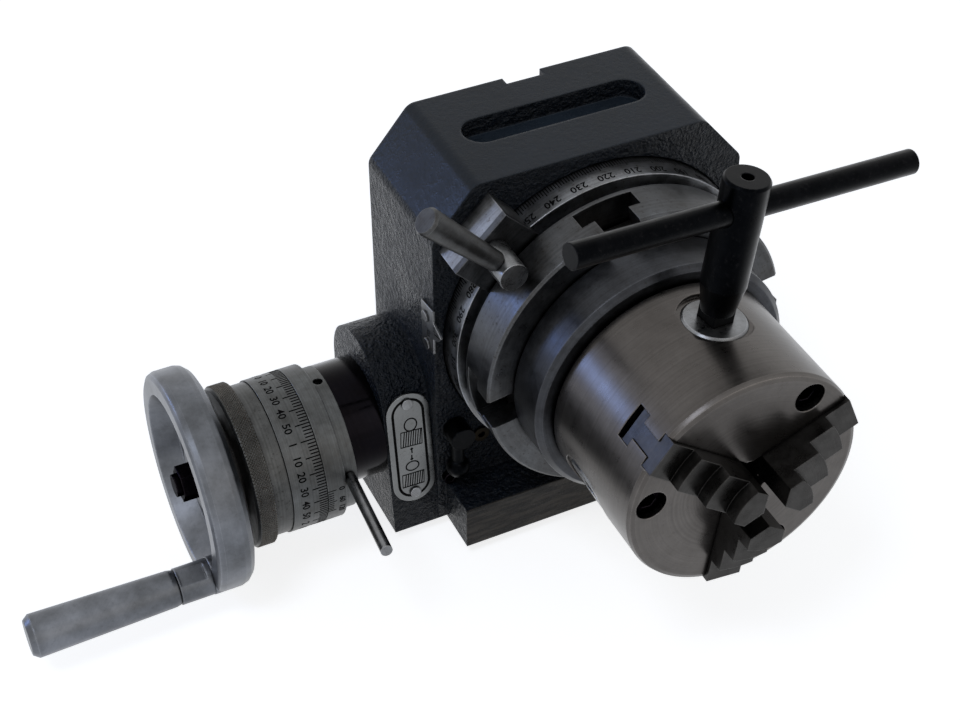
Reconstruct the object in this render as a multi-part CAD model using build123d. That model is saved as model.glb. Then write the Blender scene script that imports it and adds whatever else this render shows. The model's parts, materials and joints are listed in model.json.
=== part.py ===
from build123d import *
from math import asin, atan2, cos, degrees, pi, radians, sin, sqrt
import os

# Rotary table standing on its foot, with a three-jaw scroll chuck on the face.
# Frame: X across the casting (handwheel towards -X), Y front to back (chuck
# towards -Y), Z up. Z = 0 is the underside, Y = 0 is the middle of the base.
# Sizes are in millimetres. Parts are drawn about the table axis, which runs
# along Y, and are lifted by centre_height when they are written out.

# ---- named clearances ----
running = 0.03          # radial gap of a turning fit
sliding = 0.06          # gap of a sliding fit, each side
free = 0.3              # gap where nothing should touch

# ---- casting ----
centre_height = 80.0    # table axis above the base
casting_x = -2.8        # middle of the casting, left of the table axis
half_width = 56.4
left_side = casting_x - half_width
right_side = casting_x + half_width
top_height = 61.0       # top face above the table axis
base_half_depth = 34.0
body_front = -17.0
body_back = base_half_depth
shoulder_width = 15.0   # slanted shoulders at the top
shoulder_drop = 18.0
corner_round = 5.0
foot_half_width = 53.2
foot_thickness = centre_height - 62.5   # its top stays below the clamps
pocket_length = 66.0
pocket_width = 14.0
pocket_depth = 6.5
pocket_y = 9.5
keyway_width = 14.0
keyway_depth = 3.5

# ---- worm housing on the left side of the casting ----
housing_face = -76.0
housing_foot = -17.0    # y of its leaning front wall at the base
housing_y = 11.5        # its rounded top ends at the back face
housing_z = -33.7
housing_round = body_back - housing_y

# ---- back of the casting ----
chamber_radius = 40.0   # room for the worm wheel
chamber_back = 25.0
plate_recess_radius = 47.0
plate_back = 30.5
rear_screw_circle = 43.5
rear_screw_angles = (30, 150, 210, 330)
nut_slot_angles = (45, 135, 225, 315)

# ---- small pieces on the casting ----
lock_x = -52.5          # worm lock screw
lock_z = -38.0
lock_shank_radius = 3.0
lock_hub_radius = 4.5
lock_lever_y = body_front - 4.6
lock_lever_x = lock_x - 0.9
lock_ball_radius = 4.2
lock_ball_z = lock_z - 14.4
oiler_x = -42.6
oiler_z = -45.0
oiler_radius = 3.0
keeper_x = -55.2        # screw that keeps the sleeve endways
keeper_radius = 1.9
keeper_head_radius = 2.4
keeper_head = 2.4
keeper_z = -59.9        # it crosses under the sleeve and bites into its groove
groove_depth = 1.7
groove_top = 6.0        # the groove is cut only below this depth under the sleeve's axis
plug_radius = 12.0
plug_length = 4.7
plug_start = right_side - plug_length - 0.5
plug_socket_depth = 3.0
badge_thickness = 0.8
rivet_radius = 1.15
rivet_head_radius = 2.0
rivet_depth = 1.4
index_rivets = ((-12.5, 11.0), (-13.5, 0.0))
plate_x = -67.4         # instruction plate on the leaning wall
plate_reach = 35.0
plate_half_length = 22.8
plate_half_width = 7.9
plate_rivet_z = 19.0

# ---- table ----
table_face = -47.0
ring_radius = half_width - 0.7      # graduated ring
disc_radius = ring_radius - 1.4
disc_back = -31.0
neck_radius = disc_radius - 4.3
ring_front = -27.0
ring_back = -12.5
journal_radius = 30.0
front_wall_back = -2.0
wheel_seat_radius = 20.0
tail_radius = 17.0
tail_thread_radius = 15.0
taper_bore_radius = 8.9
slot_angle = 8.4        # first T-slot; the others follow at quarter turns
slot_count = 4
slot_neck_width = 12.0
slot_foot_width = 20.8
slot_lip = 7.7          # thickness of the lips over the T
slot_floor = -32.5
adapter_spigot_radius = 12.5
wheel_screw_circle = 24.0
wheel_screw_angles = (0, 90, 180, 270)
washer_front = 29.0

# ---- worm drive ----
wheel_teeth = 72
module = 1.0
worm_pitch_radius = 9.0
tooth_thickness = 1.3   # at the pitch line, worm and wheel alike
addendum = 0.8
dedendum = 1.2
wheel_width = 11.0
worm_y = 4.4            # middle of the wheel
wheel_pitch_radius = module * wheel_teeth / 2
worm_z = -(wheel_pitch_radius + worm_pitch_radius)
lead = pi * module
lead_angle = degrees(lead / (2 * pi * worm_pitch_radius))
throw = 4.4             # eccentricity of the sleeve
throw_angle = 196.0     # where the worm lies about the sleeve's own axis, in mesh
throw_swing = 35.0      # turn that takes the worm out of mesh
sleeve_y = worm_y - throw * cos(radians(throw_angle))
sleeve_z = worm_z - throw * sin(radians(throw_angle))
sleeve_radius = 15.5
sleeve_end = 34.0
worm_bore_radius = 9.0
chamber_half = 24.0     # length of the worm's window, each way
chamber_relief = 1.1
window_floor = 6.2      # height of the window's floor over the sleeve's axis
collar_start = -59.7    # thrust collar of the worm shaft
collar_end = -56.5

# ---- shaft stack towards -X ----
flange_end = -90.2
lever_ring_end = -95.2
vernier_end = -101.9
dial_start = -102.1
dial_end = -114.2
lock_ring_end = -127.2
knurl_start = -120.6
wheel_inner = -131.2
wheel_outer = -145.0
vernier_radius = 27.4
vernier_bore_radius = 23.6
dial_radius = 27.3
lock_ring_radius = 26.8
knurl_radius = 28.5
lever_ring_radius = 25.3
flange_radius = 21.5
shaft_radius = 6.0
spindle_radius = 5.5    # under the dial hub and the handwheel
thread_radius = 4.0
shaft_shoulder = -101.0
key_half = 1.5
dial_key_span = (-112.0, -104.0)
handwheel_key_span = (-138.0, -132.0)
dial_bore_radius = 18.0
ring_screw_circle = 15.2
ring_screw_angles = (15, 110, 285)
handwheel_radius = 39.1
crank_radius = 32.5
crank_angle = 222.0
lever_angle = 171.6
lever_length = 68.0     # pin end from the worm axis
lever_lean = 6.0        # towards the handwheel
lever_seat = lever_ring_radius - 3.0
spare_hole_angle = 87.2     # second hole for the pin
spare_hole_radius = 1.73
spare_hole_depth = 4.5
pin_spigot_radius = 1.73
pin_radius = 2.0
handwheel_hub = wheel_outer + 5.8
nut_thickness = 6.0
adjusting_nut_width = 4.05
grip_start = -156.5
grip_end = -207.5

# ---- chuck ----
chuck_radius = 40.0
chuck_length = 50.0
chuck_face = -114.0
chuck_back = chuck_face + chuck_length
chuck_bore_radius = 8.0
hub_radius = 16.0
cavity_radius = chuck_radius - 10.8
cavity_front = chuck_face + 15.5
jaw_slot_depth = 17.7
jaw_front_half = 6.2
jaw_neck_half = 3.0
jaw_rear_half = 6.0
jaw_neck_from = 3.5
jaw_neck_to = 12.0
pinion_angle = 83.0
jaw_angle = pinion_angle + 60
mount_screw_angle = pinion_angle - 30
mount_screw_circle = chuck_radius - 7.0
pinion_y = chuck_face + 31.5
pinion_teeth = 12
crown_teeth = 48
gear_inner = hub_radius + 3.5
gear_outer = cavity_radius - 1.2
scroll_pitch = 6.0
scroll_thread = 2.6
pinion_radius = 10.5
square_key = 8.0
socket_depth = 10.0
key_turn = 6.2          # how far the key bar is turned about the key
register_radius = chuck_radius - 12.5
adapter_radius = chuck_radius + 5.2
bolt_circle = 35.0
cover_front = -73.0
pin_reach = chuck_radius - 5.5      # retaining pin of each pinion
pin_offset = -10.2
scroll_start = 1.0
jaw_tip = 4.5
jaw_outer = chuck_radius - 0.6
jaw_steps = ((9.5, 16.0), (18.0, 11.0), (26.5, 6.0))    # reach from the tip, height
jaw_low = 1.5           # height of the guide over the face
key_bar_radius = 4.0
key_bar_reach = chuck_radius + 39.0
key_shoulder = chuck_radius + 3.0
key_body = chuck_radius + 13.0
key_end = key_bar_reach + 11.0
key_body_radius = 7.2
key_bar_low = -66.7
key_bar_high = 60.0

# ---- table clamps ----
clamp_distance = ring_radius + 6.3      # clamp screw from the table axis
clamp_hole_end = -4.0
strap_half = 12.2
strap_inner = ring_radius - 3.2
strap_outer = clamp_distance + 6.5
strap_front = disc_back + 1.0
clamp_screw_radius = 4.0
clamp_head_radius = 4.8
clamp_lever_length = 37.5
lever_hole_radius = 2.5
clamp_angles = (135.0, -45.0)
clamp_turns = (0.0, 20.0)


def cyl_y(radius, start, end, x=0.0, z=0.0):
    return Pos(x, (start + end) / 2, z) * Rot(90, 0, 0) * Cylinder(radius, abs(end - start))


def cyl_x(radius, start, end, y=0.0, z=0.0):
    return Pos((start + end) / 2, y, z) * Rot(0, 90, 0) * Cylinder(radius, abs(end - start))


def cyl_z(radius, start, end, x=0.0, y=0.0):
    return Pos(x, y, (start + end) / 2) * Cylinder(radius, end - start)


def block(x0, x1, y0, y1, z0, z1):
    middle = Pos((x0 + x1) / 2, (y0 + y1) / 2, (z0 + z1) / 2)
    return middle * Box(x1 - x0, y1 - y0, z1 - z0)


def outline(points):
    return make_face(Polyline(*points, close=True))


def turned_y(points):
    # points are (radius, y)
    return revolve(outline(points), Axis.Y)


def turned_x(points, y, z):
    # points are (x, radius)
    return Pos(0, y, z) * revolve(outline(points), Axis.X)


def prism_y(points, start, end):
    # points are (x, z)
    face = Plane(origin=(0, end, 0), x_dir=(1, 0, 0), z_dir=(0, -1, 0)) * outline(points)
    return extrude(face, end - start)


def prism_x(points, start, end):
    # points are (y, z)
    face = Plane(origin=(start, 0, 0), x_dir=(0, 1, 0), z_dir=(1, 0, 0)) * outline(points)
    return extrude(face, end - start)


def spoke(shape, angle):
    # +X is turned towards +Z about the table axis
    return Rot(0, -angle, 0) * shape


def frustum(points_a, points_b, radius_a, radius_b):
    # a tapered bar along +X between two outlines given as (y, z)
    ends = []
    for points, radius in ((points_a, radius_a), (points_b, radius_b)):
        plane = Plane(origin=(radius, 0, 0), x_dir=(0, 1, 0), z_dir=(1, 0, 0))
        ends.append(plane * outline(points))
    return loft(ends, ruled=True)


def socket_screw(head_radius, head_length, shank_radius, shank_length):
    # head from y = 0 towards +Y, then the shank; hex socket in the head
    screw = cyl_y(head_radius, 0, head_length)
    screw += cyl_y(shank_radius, head_length, head_length + shank_length)
    hexagon = RegularPolygon(head_radius * 0.58, 6)
    face = Plane(origin=(0, 0, 0), x_dir=(1, 0, 0), z_dir=(0, -1, 0)) * hexagon
    return screw - extrude(face, -head_length * 0.6)


def make_casting():
    low = top_height - shoulder_drop
    profile = [(left_side, -centre_height), (right_side, -centre_height), (right_side, low),
               (right_side - shoulder_width, top_height), (left_side + shoulder_width, top_height),
               (left_side, low)]
    face = outline(profile)
    rounded = [v for v in face.vertices() if v.Y > 0]
    face = fillet(rounded, corner_round)
    plane = Plane(origin=(0, body_back, 0), x_dir=(1, 0, 0), z_dir=(0, -1, 0))
    body = extrude(plane * face, body_back - body_front)
    body += block(casting_x - foot_half_width, casting_x + foot_half_width, -base_half_depth,
                  body_front + 2, -centre_height, -centre_height + foot_thickness)
    body += worm_housing()
    # recess for the graduated ring, journal bore, wheel chamber, rear opening
    body -= cyl_y(ring_radius + 0.5, body_front - 1, ring_back)
    body -= cyl_y(journal_radius + running, ring_back - 1, front_wall_back + 1)
    body -= cyl_y(chamber_radius, front_wall_back, chamber_back)
    body -= cyl_y(plate_recess_radius, chamber_back, body_back + 1)
    # bore for the eccentric sleeve, relief and plug seat on the far side
    body -= cyl_x(sleeve_radius + running, housing_face - 1, sleeve_end + 1, sleeve_y, sleeve_z)
    body -= cyl_x(plug_radius - 4, sleeve_end, plug_start + 1, sleeve_y, sleeve_z)
    body -= cyl_x(plug_radius, plug_start, right_side + 1, sleeve_y, sleeve_z)
    # blind pocket in the top, keyway down the back
    half = pocket_length / 2 - pocket_width / 2
    floor = top_height - pocket_depth
    body -= block(casting_x - half, casting_x + half, pocket_y - pocket_width / 2,
                  pocket_y + pocket_width / 2, floor, top_height + 1)
    for x in (casting_x - half, casting_x + half):
        body -= cyl_z(pocket_width / 2, floor, top_height + 1, x, pocket_y)
    body -= block(casting_x - keyway_width / 2, casting_x + keyway_width / 2,
                  body_back - keyway_depth, body_back + 1, -centre_height - 1, top_height + 1)
    # holes for the clamp screws and the worm lock screw
    for angle in clamp_angles:
        body -= spoke(cyl_y(clamp_screw_radius, body_front - 1, clamp_hole_end, clamp_distance), angle)
    body -= cyl_y(lock_shank_radius + running, body_front - 1, sleeve_y, lock_x, lock_z)
    body -= cyl_y(oiler_radius, body_front - 1, body_front + 6, oiler_x, oiler_z)
    body -= cyl_y(keeper_radius + running, body_front - 1, sleeve_y + free, keeper_x, keeper_z)
    for angle in rear_screw_angles:
        body -= spoke(cyl_y(2.0, chamber_back - 7, chamber_back + 1, rear_screw_circle), angle)
    for y, z in index_rivets:
        body -= cyl_x(rivet_radius, left_side - 2, left_side + rivet_depth, y, z)
    return body


def housing_lean():
    # slope of the front wall, which runs from the foot to touch the rounded top
    reach = sqrt((housing_y - housing_foot) ** 2 + (housing_z + centre_height) ** 2)
    to_centre = atan2(housing_y - housing_foot, housing_z + centre_height)
    return degrees(to_centre - asin(housing_round / reach)), sqrt(reach ** 2 - housing_round ** 2)


def wall_point(reach):
    # a point on the leaning wall, measured up from the foot
    lean = radians(housing_lean()[0])
    return housing_foot + reach * sin(lean), -centre_height + reach * cos(lean)


def worm_housing():
    # leaning front wall, round top about the worm, flush with the back and the base
    foot_point = (housing_foot, -centre_height)
    touch = wall_point(housing_lean()[1])
    crest = (housing_y, housing_z + housing_round)
    edges = [Line(foot_point, touch), ThreePointArc(touch, crest, (body_back, housing_z)),
             Line((body_back, housing_z), (body_back, -centre_height)),
             Line((body_back, -centre_height), foot_point)]
    face = make_face(Wire(edges))
    plane = Plane(origin=(housing_face, 0, 0), x_dir=(0, 1, 0), z_dir=(1, 0, 0))
    return extrude(plane * face, left_side - housing_face + 6)


def make_rear_plate():
    plate = cyl_y(plate_recess_radius - 0.1, chamber_back, plate_back)
    plate -= cyl_y(tail_radius + running, chamber_back - 1, plate_back + 1)
    plate -= cyl_y(tail_radius + 8, washer_front, plate_back + 1)
    for angle in rear_screw_angles:
        plate -= spoke(cyl_y(2.2, chamber_back - 1, plate_back + 1, rear_screw_circle), angle)
    return plate


def make_rear_screws():
    head = 3.0
    screw = socket_screw(3.2, head, 1.9, plate_back - chamber_back + 6)
    screw = Pos(rear_screw_circle, plate_back + head, 0) * Rot(0, 0, 180) * screw
    return [spoke(screw, angle) for angle in rear_screw_angles]


def make_index_plate():
    side = left_side
    points = [(-9, -3), (-18, -1.5), (-18, 5), (-21.5, 6.5), (-24, 9.5), (-18, 12), (-18, 16.5), (-9, 15.5)]
    plate = prism_x(points, side - badge_thickness, side)
    for y, z in index_rivets:
        plate -= cyl_x(rivet_radius + 0.05, side - 2, side + 1, y, z)
    return plate


def make_index_rivets():
    side = left_side
    top = side - badge_thickness
    rivets = []
    for y, z in index_rivets:
        rivet = cyl_x(rivet_radius - 0.02, top - 0.5, side + rivet_depth - 0.02, y, z)
        rivets.append(rivet + cyl_x(rivet_head_radius, top - 0.8, top, y, z))
    return rivets


def on_housing(shape):
    # places a flat piece drawn in XZ, facing -Y, on the leaning wall
    y, z = wall_point(plate_reach)
    return Pos(plate_x, y, z) * Rot(-housing_lean()[0], 0, 0) * shape


def make_instruction_plate():
    straight = plate_half_length - plate_half_width
    plate = block(-plate_half_width, plate_half_width, -badge_thickness, 0, -straight, straight)
    for z in (-straight, straight):
        plate += cyl_y(plate_half_width, -badge_thickness, 0, 0, z)
    for z in (-plate_rivet_z, plate_rivet_z):
        plate -= cyl_y(rivet_radius + 0.05, -2, 1, 0, z)
    return on_housing(plate)


def make_plate_rivets():
    rivets = []
    for z in (-plate_rivet_z, plate_rivet_z):
        pin = cyl_y(rivet_radius, -badge_thickness - 0.5, -0.02, 0, z)
        head = cyl_y(rivet_head_radius, -badge_thickness - 0.8, -badge_thickness, 0, z)
        rivets.append(on_housing(pin + head))
    return rivets


def make_table():
    table = turned_y([(0, table_face), (disc_radius - 0.8, table_face),
                      (disc_radius, table_face + 0.8), (disc_radius, disc_back),
                      (neck_radius, disc_back), (neck_radius, ring_front),
                      (ring_radius, ring_front), (ring_radius, ring_back),
                      (journal_radius, ring_back), (journal_radius, front_wall_back),
                      (wheel_seat_radius + 8, front_wall_back),
                      (wheel_seat_radius + 8, worm_y - wheel_width / 2),
                      (wheel_seat_radius, worm_y - wheel_width / 2),
                      (wheel_seat_radius, worm_y + wheel_width / 2),
                      (tail_radius, worm_y + wheel_width / 2), (tail_radius, washer_front),
                      (tail_thread_radius, washer_front), (tail_thread_radius, 33.6), (0, 33.6)])
    table -= turned_y([(0, table_face - 1), (taper_bore_radius, table_face - 1),
                       (taper_bore_radius - 1.6, 17.0), (taper_bore_radius - 1.6, 35), (0, 35)])
    table -= cyl_y(adapter_spigot_radius + running, table_face - 1, table_face + 3.2)
    lip = table_face + slot_lip
    for k in range(slot_count):
        slot = block(20, disc_radius + 3, table_face - 1, lip + 0.1,
                     -slot_neck_width / 2, slot_neck_width / 2)
        slot += block(20, disc_radius + 3, lip, slot_floor, -slot_foot_width / 2, slot_foot_width / 2)
        table -= spoke(slot, slot_angle + 90 * k)
    for angle in wheel_screw_angles:
        table -= spoke(cyl_y(2.0, -6, 3, wheel_screw_circle), angle)
    return table


def make_worm_wheel():
    tip = wheel_pitch_radius + addendum
    root = wheel_pitch_radius - dedendum
    front = worm_y - wheel_width / 2
    back = worm_y + wheel_width / 2
    wheel = cyl_y(tip, front, back) - cyl_y(wheel_seat_radius + 0.01, front - 1, back + 1)
    gap = pi * module - tooth_thickness
    slope = 0.364
    low = gap / 2 - dedendum * slope
    high = gap / 2 + 1.3 * slope
    # one gap, drawn at the bottom of the wheel and leaning by the lead angle
    points = [(-low, -root), (low, -root), (high, -wheel_pitch_radius - 1.3),
              (-high, -wheel_pitch_radius - 1.3)]
    cutter = prism_y(points, front - 2, back + 2)
    cutter = Pos(0, worm_y, 0) * Rot(0, 0, lead_angle) * Pos(0, -worm_y, 0) * cutter
    wheel -= [spoke(cutter, 360 / wheel_teeth * k) for k in range(wheel_teeth)]
    for angle in wheel_screw_angles:
        wheel -= spoke(cyl_y(2.2, front - 1, back + 1, wheel_screw_circle), angle)
        wheel -= spoke(cyl_y(3.6, back - 4.0, back + 1, wheel_screw_circle), angle)
    return wheel


def make_wheel_screws():
    back = worm_y + wheel_width / 2
    head = 4.0
    screw = socket_screw(3.4, head, 1.9, wheel_width - head + 3.4)
    screw = Pos(wheel_screw_circle, back, 0) * Rot(0, 0, 180) * screw
    return [spoke(screw, angle) for angle in wheel_screw_angles]


def make_spindle_washer():
    washer = cyl_y(tail_radius + 7, washer_front, washer_front + 1)
    return washer - cyl_y(tail_thread_radius + free, washer_front - 1, washer_front + 2)


def make_spindle_nut():
    radius = tail_radius + 6
    start = washer_front + 1
    nut = cyl_y(radius, start, start + 3.4) - cyl_y(tail_thread_radius + 0.02, start - 1, start + 4)
    for angle in nut_slot_angles:
        nut -= spoke(block(radius - 2.5, radius + 1, start - 1, start + 4, -2.5, 2.5), angle)
    return nut


def make_sleeve():
    sleeve = cyl_x(flange_radius, flange_end, housing_face, sleeve_y, sleeve_z)
    sleeve += cyl_x(sleeve_radius, housing_face, sleeve_end, sleeve_y, sleeve_z)
    # nut recess, bush seats, worm chamber
    sleeve -= cyl_x(12.0, flange_end - 1, housing_face - 2, worm_y, worm_z)
    sleeve -= cyl_x(worm_bore_radius, housing_face - 3, sleeve_end + 1, worm_y, worm_z)
    sleeve -= cyl_x(worm_bore_radius + chamber_relief, -chamber_half, chamber_half, worm_y, worm_z)
    # window for the wheel, wide enough for the whole throw of the sleeve
    for turn in (0, -throw_swing / 2, -throw_swing):
        window = Rot(turn, 0, 0) * block(-chamber_half, chamber_half, -20, 20, window_floor, 20)
        sleeve -= Pos(0, sleeve_y, sleeve_z) * window
    # groove for the keeper screw
    groove_half = keeper_radius + free
    groove = cyl_x(sleeve_radius + 1, keeper_x - groove_half, keeper_x + groove_half, sleeve_y, sleeve_z)
    groove -= cyl_x(sleeve_radius - groove_depth, keeper_x - 5, keeper_x + 5, sleeve_y, sleeve_z)
    under = sleeve_z - groove_top
    sleeve -= groove & block(keeper_x - 5, keeper_x + 5, sleeve_y - 20, sleeve_y + 20, under - 20, under)
    for angle in ring_screw_angles:
        y, z = around_worm(ring_screw_circle, angle)
        sleeve -= cyl_x(1.6, flange_end - 1, flange_end + 9, y, z)
    return sleeve


def around_worm(radius, angle):
    return worm_y + radius * cos(radians(angle)), worm_z + radius * sin(radians(angle))


def make_bush(start, end):
    bush = cyl_x(worm_bore_radius - 0.01, start, end, worm_y, worm_z)
    return bush - cyl_x(shaft_radius + running, start - 1, end + 1, worm_y, worm_z)


def make_lever_ring():
    ring = cyl_x(lever_ring_radius, lever_ring_end, flange_end, worm_y, worm_z)
    ring -= cyl_x(12.5, lever_ring_end - 1, flange_end + 1, worm_y, worm_z)
    for angle in ring_screw_angles:
        y, z = around_worm(ring_screw_circle, angle)
        ring -= cyl_x(1.8, lever_ring_end - 1, flange_end + 1, y, z)
    y, z = around_worm(lever_ring_radius - spare_hole_depth, spare_hole_angle)
    hole = cyl_y(spare_hole_radius, 0, spare_hole_depth + 1)
    middle = (lever_ring_end + flange_end) / 2
    ring -= Pos(middle, y, z) * Rot(spare_hole_angle, 0, 0) * hole
    return ring - on_lever_ring(cyl_y(pin_spigot_radius + 0.02, lever_seat - 3.2, lever_ring_radius + 2))


def on_lever_ring(shape):
    # drawn along +Y out of the ring, leaning a little towards the handwheel
    middle = (lever_ring_end + flange_end) / 2
    lean = Pos(0, lever_seat, 0) * Rot(0, 0, lever_lean) * Pos(0, -lever_seat, 0)
    return Pos(middle, worm_y, worm_z) * Rot(lever_angle, 0, 0) * lean * shape


def make_lever_pin():
    pin = cyl_y(pin_spigot_radius, lever_seat - 3, lever_ring_radius + 1)
    pin += cyl_y(pin_radius, lever_ring_radius + 0.6, lever_length)
    return on_lever_ring(pin)


def make_vernier():
    ring = cyl_x(vernier_radius, vernier_end, lever_ring_end, worm_y, worm_z)
    return ring - cyl_x(vernier_bore_radius, vernier_end - 1, lever_ring_end + 1, worm_y, worm_z)


def make_worm_shaft():
    root = worm_pitch_radius - dedendum
    thread_start = handwheel_hub - nut_thickness - 1.8
    bush_start = chamber_half + 0.3
    shaft = turned_x([(thread_start, 0), (thread_start, thread_radius),
                      (handwheel_hub + 0.2, thread_radius), (handwheel_hub + 0.2, spindle_radius),
                      (shaft_shoulder, spindle_radius), (shaft_shoulder, shaft_radius),
                      (collar_start, shaft_radius), (collar_start, worm_bore_radius - 0.6),
                      (collar_end, worm_bore_radius - 0.6), (collar_end, 7.0),
                      (-19.0, 7.0), (-12.0, root), (12.0, root), (19.0, 7.0),
                      (bush_start, 7.0), (bush_start, shaft_radius),
                      (sleeve_end - 1, shaft_radius), (sleeve_end - 1, 0)],
                     worm_y, worm_z)
    slope = 0.364
    wide = tooth_thickness / 2 + (dedendum + 0.1) * slope
    thin = tooth_thickness / 2 - addendum * slope
    turns = 6.5
    start = -0.25 * lead - 3 * lead
    path = Helix(pitch=lead, height=turns * lead, radius=worm_pitch_radius)
    low = root - 0.1 - worm_pitch_radius
    points = [(low, -wide), (addendum, -thin), (addendum, thin), (low, wide)]
    section = Plane(origin=path @ 0, x_dir=(1, 0, 0), z_dir=path % 0) * outline(points)
    thread = sweep(section, path=path, is_frenet=True)
    place = Plane(origin=(start, worm_y, worm_z), x_dir=(0, 1, 0), z_dir=(1, 0, 0))
    shaft += place * thread
    for x0, x1 in (dial_key_span, handwheel_key_span):
        seat = block(x0, x1, -key_half, key_half, spindle_radius - 1.8, shaft_radius + 1)
        shaft -= Pos(0, worm_y, worm_z) * seat
    return shaft


def make_shaft_key(span):
    key = block(span[0] + 0.05, span[1] - 0.05, 0.05 - key_half, key_half - 0.05,
                spindle_radius - 1.75, spindle_radius + 1.4)
    return Pos(0, worm_y, worm_z) * key


def keyed_bore(start, end):
    bore = cyl_x(spindle_radius + 0.02, start, end, worm_y, worm_z)
    groove = block(start, end, -key_half, key_half, 0, spindle_radius + 1.5)
    return bore + Pos(0, worm_y, worm_z) * groove


def make_dial_hub():
    collar = dial_start - 2.0
    hub = turned_x([(wheel_inner, 5), (wheel_inner, 10.0), (lock_ring_end - 1.0, 10.0),
                    (lock_ring_end - 1.0, dial_bore_radius), (collar, dial_bore_radius),
                    (collar, dial_bore_radius + 4), (shaft_shoulder, dial_bore_radius + 4),
                    (shaft_shoulder, 5)], worm_y, worm_z)
    return hub - keyed_bore(wheel_inner - 1, shaft_shoulder + 1)


def make_dial():
    collar = dial_start - 2.2
    bore = dial_bore_radius + sliding
    return turned_x([(dial_start, dial_bore_radius + 5), (dial_start, dial_radius), (dial_end, dial_radius),
                     (dial_end, bore), (collar, bore), (collar, dial_bore_radius + 5)], worm_y, worm_z)


def make_lock_ring():
    start = dial_end - 0.1
    bore = dial_bore_radius + sliding
    return turned_x([(start, bore), (start, lock_ring_radius), (knurl_start, lock_ring_radius),
                     (knurl_start, knurl_radius), (lock_ring_end + 0.8, knurl_radius),
                     (lock_ring_end, knurl_radius - 0.8), (lock_ring_end, bore)], worm_y, worm_z)


def make_handwheel():
    rim = handwheel_radius
    wheel = turned_x([(wheel_inner, 5), (wheel_inner, rim - 4.6), (wheel_inner - 0.9, rim - 2.2),
                      (wheel_inner - 2.6, rim - 0.6), (wheel_inner - 4.6, rim), (wheel_outer + 2.6, rim),
                      (wheel_outer + 0.8, rim - 0.7), (wheel_outer, rim - 2.2),
                      (wheel_outer, rim - 7.5), (wheel_outer + 8.5, rim - 11.0), (wheel_outer + 8.5, 14.0),
                      (handwheel_hub, 12.0), (handwheel_hub, 5)], worm_y, worm_z)
    y, z = around_worm(crank_radius, crank_angle)
    wheel += cyl_x(6.6, wheel_outer, wheel_outer + 9, y, z)
    wheel -= cyl_x(3.5, wheel_outer - 1, wheel_outer + 8, y, z)
    return wheel - keyed_bore(wheel_outer, wheel_inner + 1)


def make_wheel_nut():
    start = handwheel_hub - nut_thickness
    plane = Plane(origin=(start, worm_y, worm_z), x_dir=(0, 1, 0), z_dir=(1, 0, 0))
    nut = extrude(plane * RegularPolygon(6.5, 6), nut_thickness)
    return nut - cyl_x(thread_radius + 0.02, start - 1, handwheel_hub + 1, worm_y, worm_z)


def make_crank_stud():
    y, z = around_worm(crank_radius, crank_angle)
    stud = turned_x([(wheel_outer + 7.5, 0), (wheel_outer + 7.5, 3.48), (wheel_outer, 3.48),
                     (wheel_outer, 6.4), (grip_start, 6.4), (grip_start, 3.0),
                     (grip_end + 4.5, 3.0), (grip_end + 4.5, 0)], y, z)
    for side in (-1, 1):
        z0, z1 = sorted((5.6 * side, 8.0 * side))
        stud -= Pos(0, y, z) * Rot(20, 0, 0) * block(grip_start + 0.5, wheel_outer - 2, -8, 8, z0, z1)
    return stud


def make_crank_grip():
    y, z = around_worm(crank_radius, crank_angle)
    start = grip_start - free
    return turned_x([(start, 3.0 + sliding), (start, 6.0), (start - 1.7, 6.4), (grip_end + 2, 7.5),
                     (grip_end, 6.0), (grip_end, 0), (grip_end + 4.2, 0), (grip_end + 4.2, 3.0 + sliding)],
                    y, z)


def make_adapter():
    plate = turned_y([(0, chuck_back), (adapter_radius - 1.8, chuck_back),
                      (adapter_radius, chuck_back + 1.8), (adapter_radius, table_face - 0.6),
                      (adapter_radius - 0.6, table_face), (0, table_face)])
    plate += cyl_y(register_radius - running, chuck_back - 3.8, chuck_back + 1)
    plate += cyl_y(adapter_spigot_radius, table_face - 1, table_face + 3.0)
    plate -= cyl_y(chuck_bore_radius, chuck_back - 5, table_face + 4)
    for k in range(slot_count):
        plate -= spoke(cyl_y(3.3, chuck_back - 1, table_face + 1, bolt_circle), slot_angle + 90 * k)
        plate -= spoke(cyl_y(4.8, chuck_back - 1, chuck_back + 6.2, bolt_circle), slot_angle + 90 * k)
    for k in range(3):
        plate -= spoke(cyl_y(2.98, chuck_back - 1, table_face - 3, mount_screw_circle),
                       mount_screw_angle + 120 * k)
    return plate


def make_t_nuts():
    lip = table_face + slot_lip
    half_neck = slot_neck_width / 2 - 0.15
    half_foot = slot_foot_width / 2 - 0.3
    nut = block(bolt_circle - 8, bolt_circle + 8, table_face + 0.6, lip + 0.1, -half_neck, half_neck)
    nut += block(bolt_circle - 8, bolt_circle + 8, lip, slot_floor - 1.0, -half_foot, half_foot)
    nut -= cyl_y(3.0, table_face, slot_floor, bolt_circle)
    return [spoke(nut, slot_angle + 90 * k) for k in range(slot_count)]


def make_t_bolts():
    bolt = Pos(bolt_circle, chuck_back + 0.2, 0) * socket_screw(4.6, 6.0, 2.98, 23.0)
    return [spoke(bolt, slot_angle + 90 * k) for k in range(slot_count)]


def jaw_guide(start, end, front, rear_end, gap):
    # the tongued guide: wide in front, narrow in the middle, wide at the rear
    wide = jaw_front_half - gap
    neck = jaw_neck_half - gap
    rear = jaw_rear_half - gap
    y1 = chuck_face + jaw_neck_from - gap
    y2 = chuck_face + jaw_neck_to + gap
    solid = block(start, end, front, y1, -wide, wide)
    solid += block(start, end, y1 - 0.01, y2 + 0.01, -neck, neck)
    solid += block(start, end, y2, rear_end, -rear, rear)
    return solid


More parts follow.
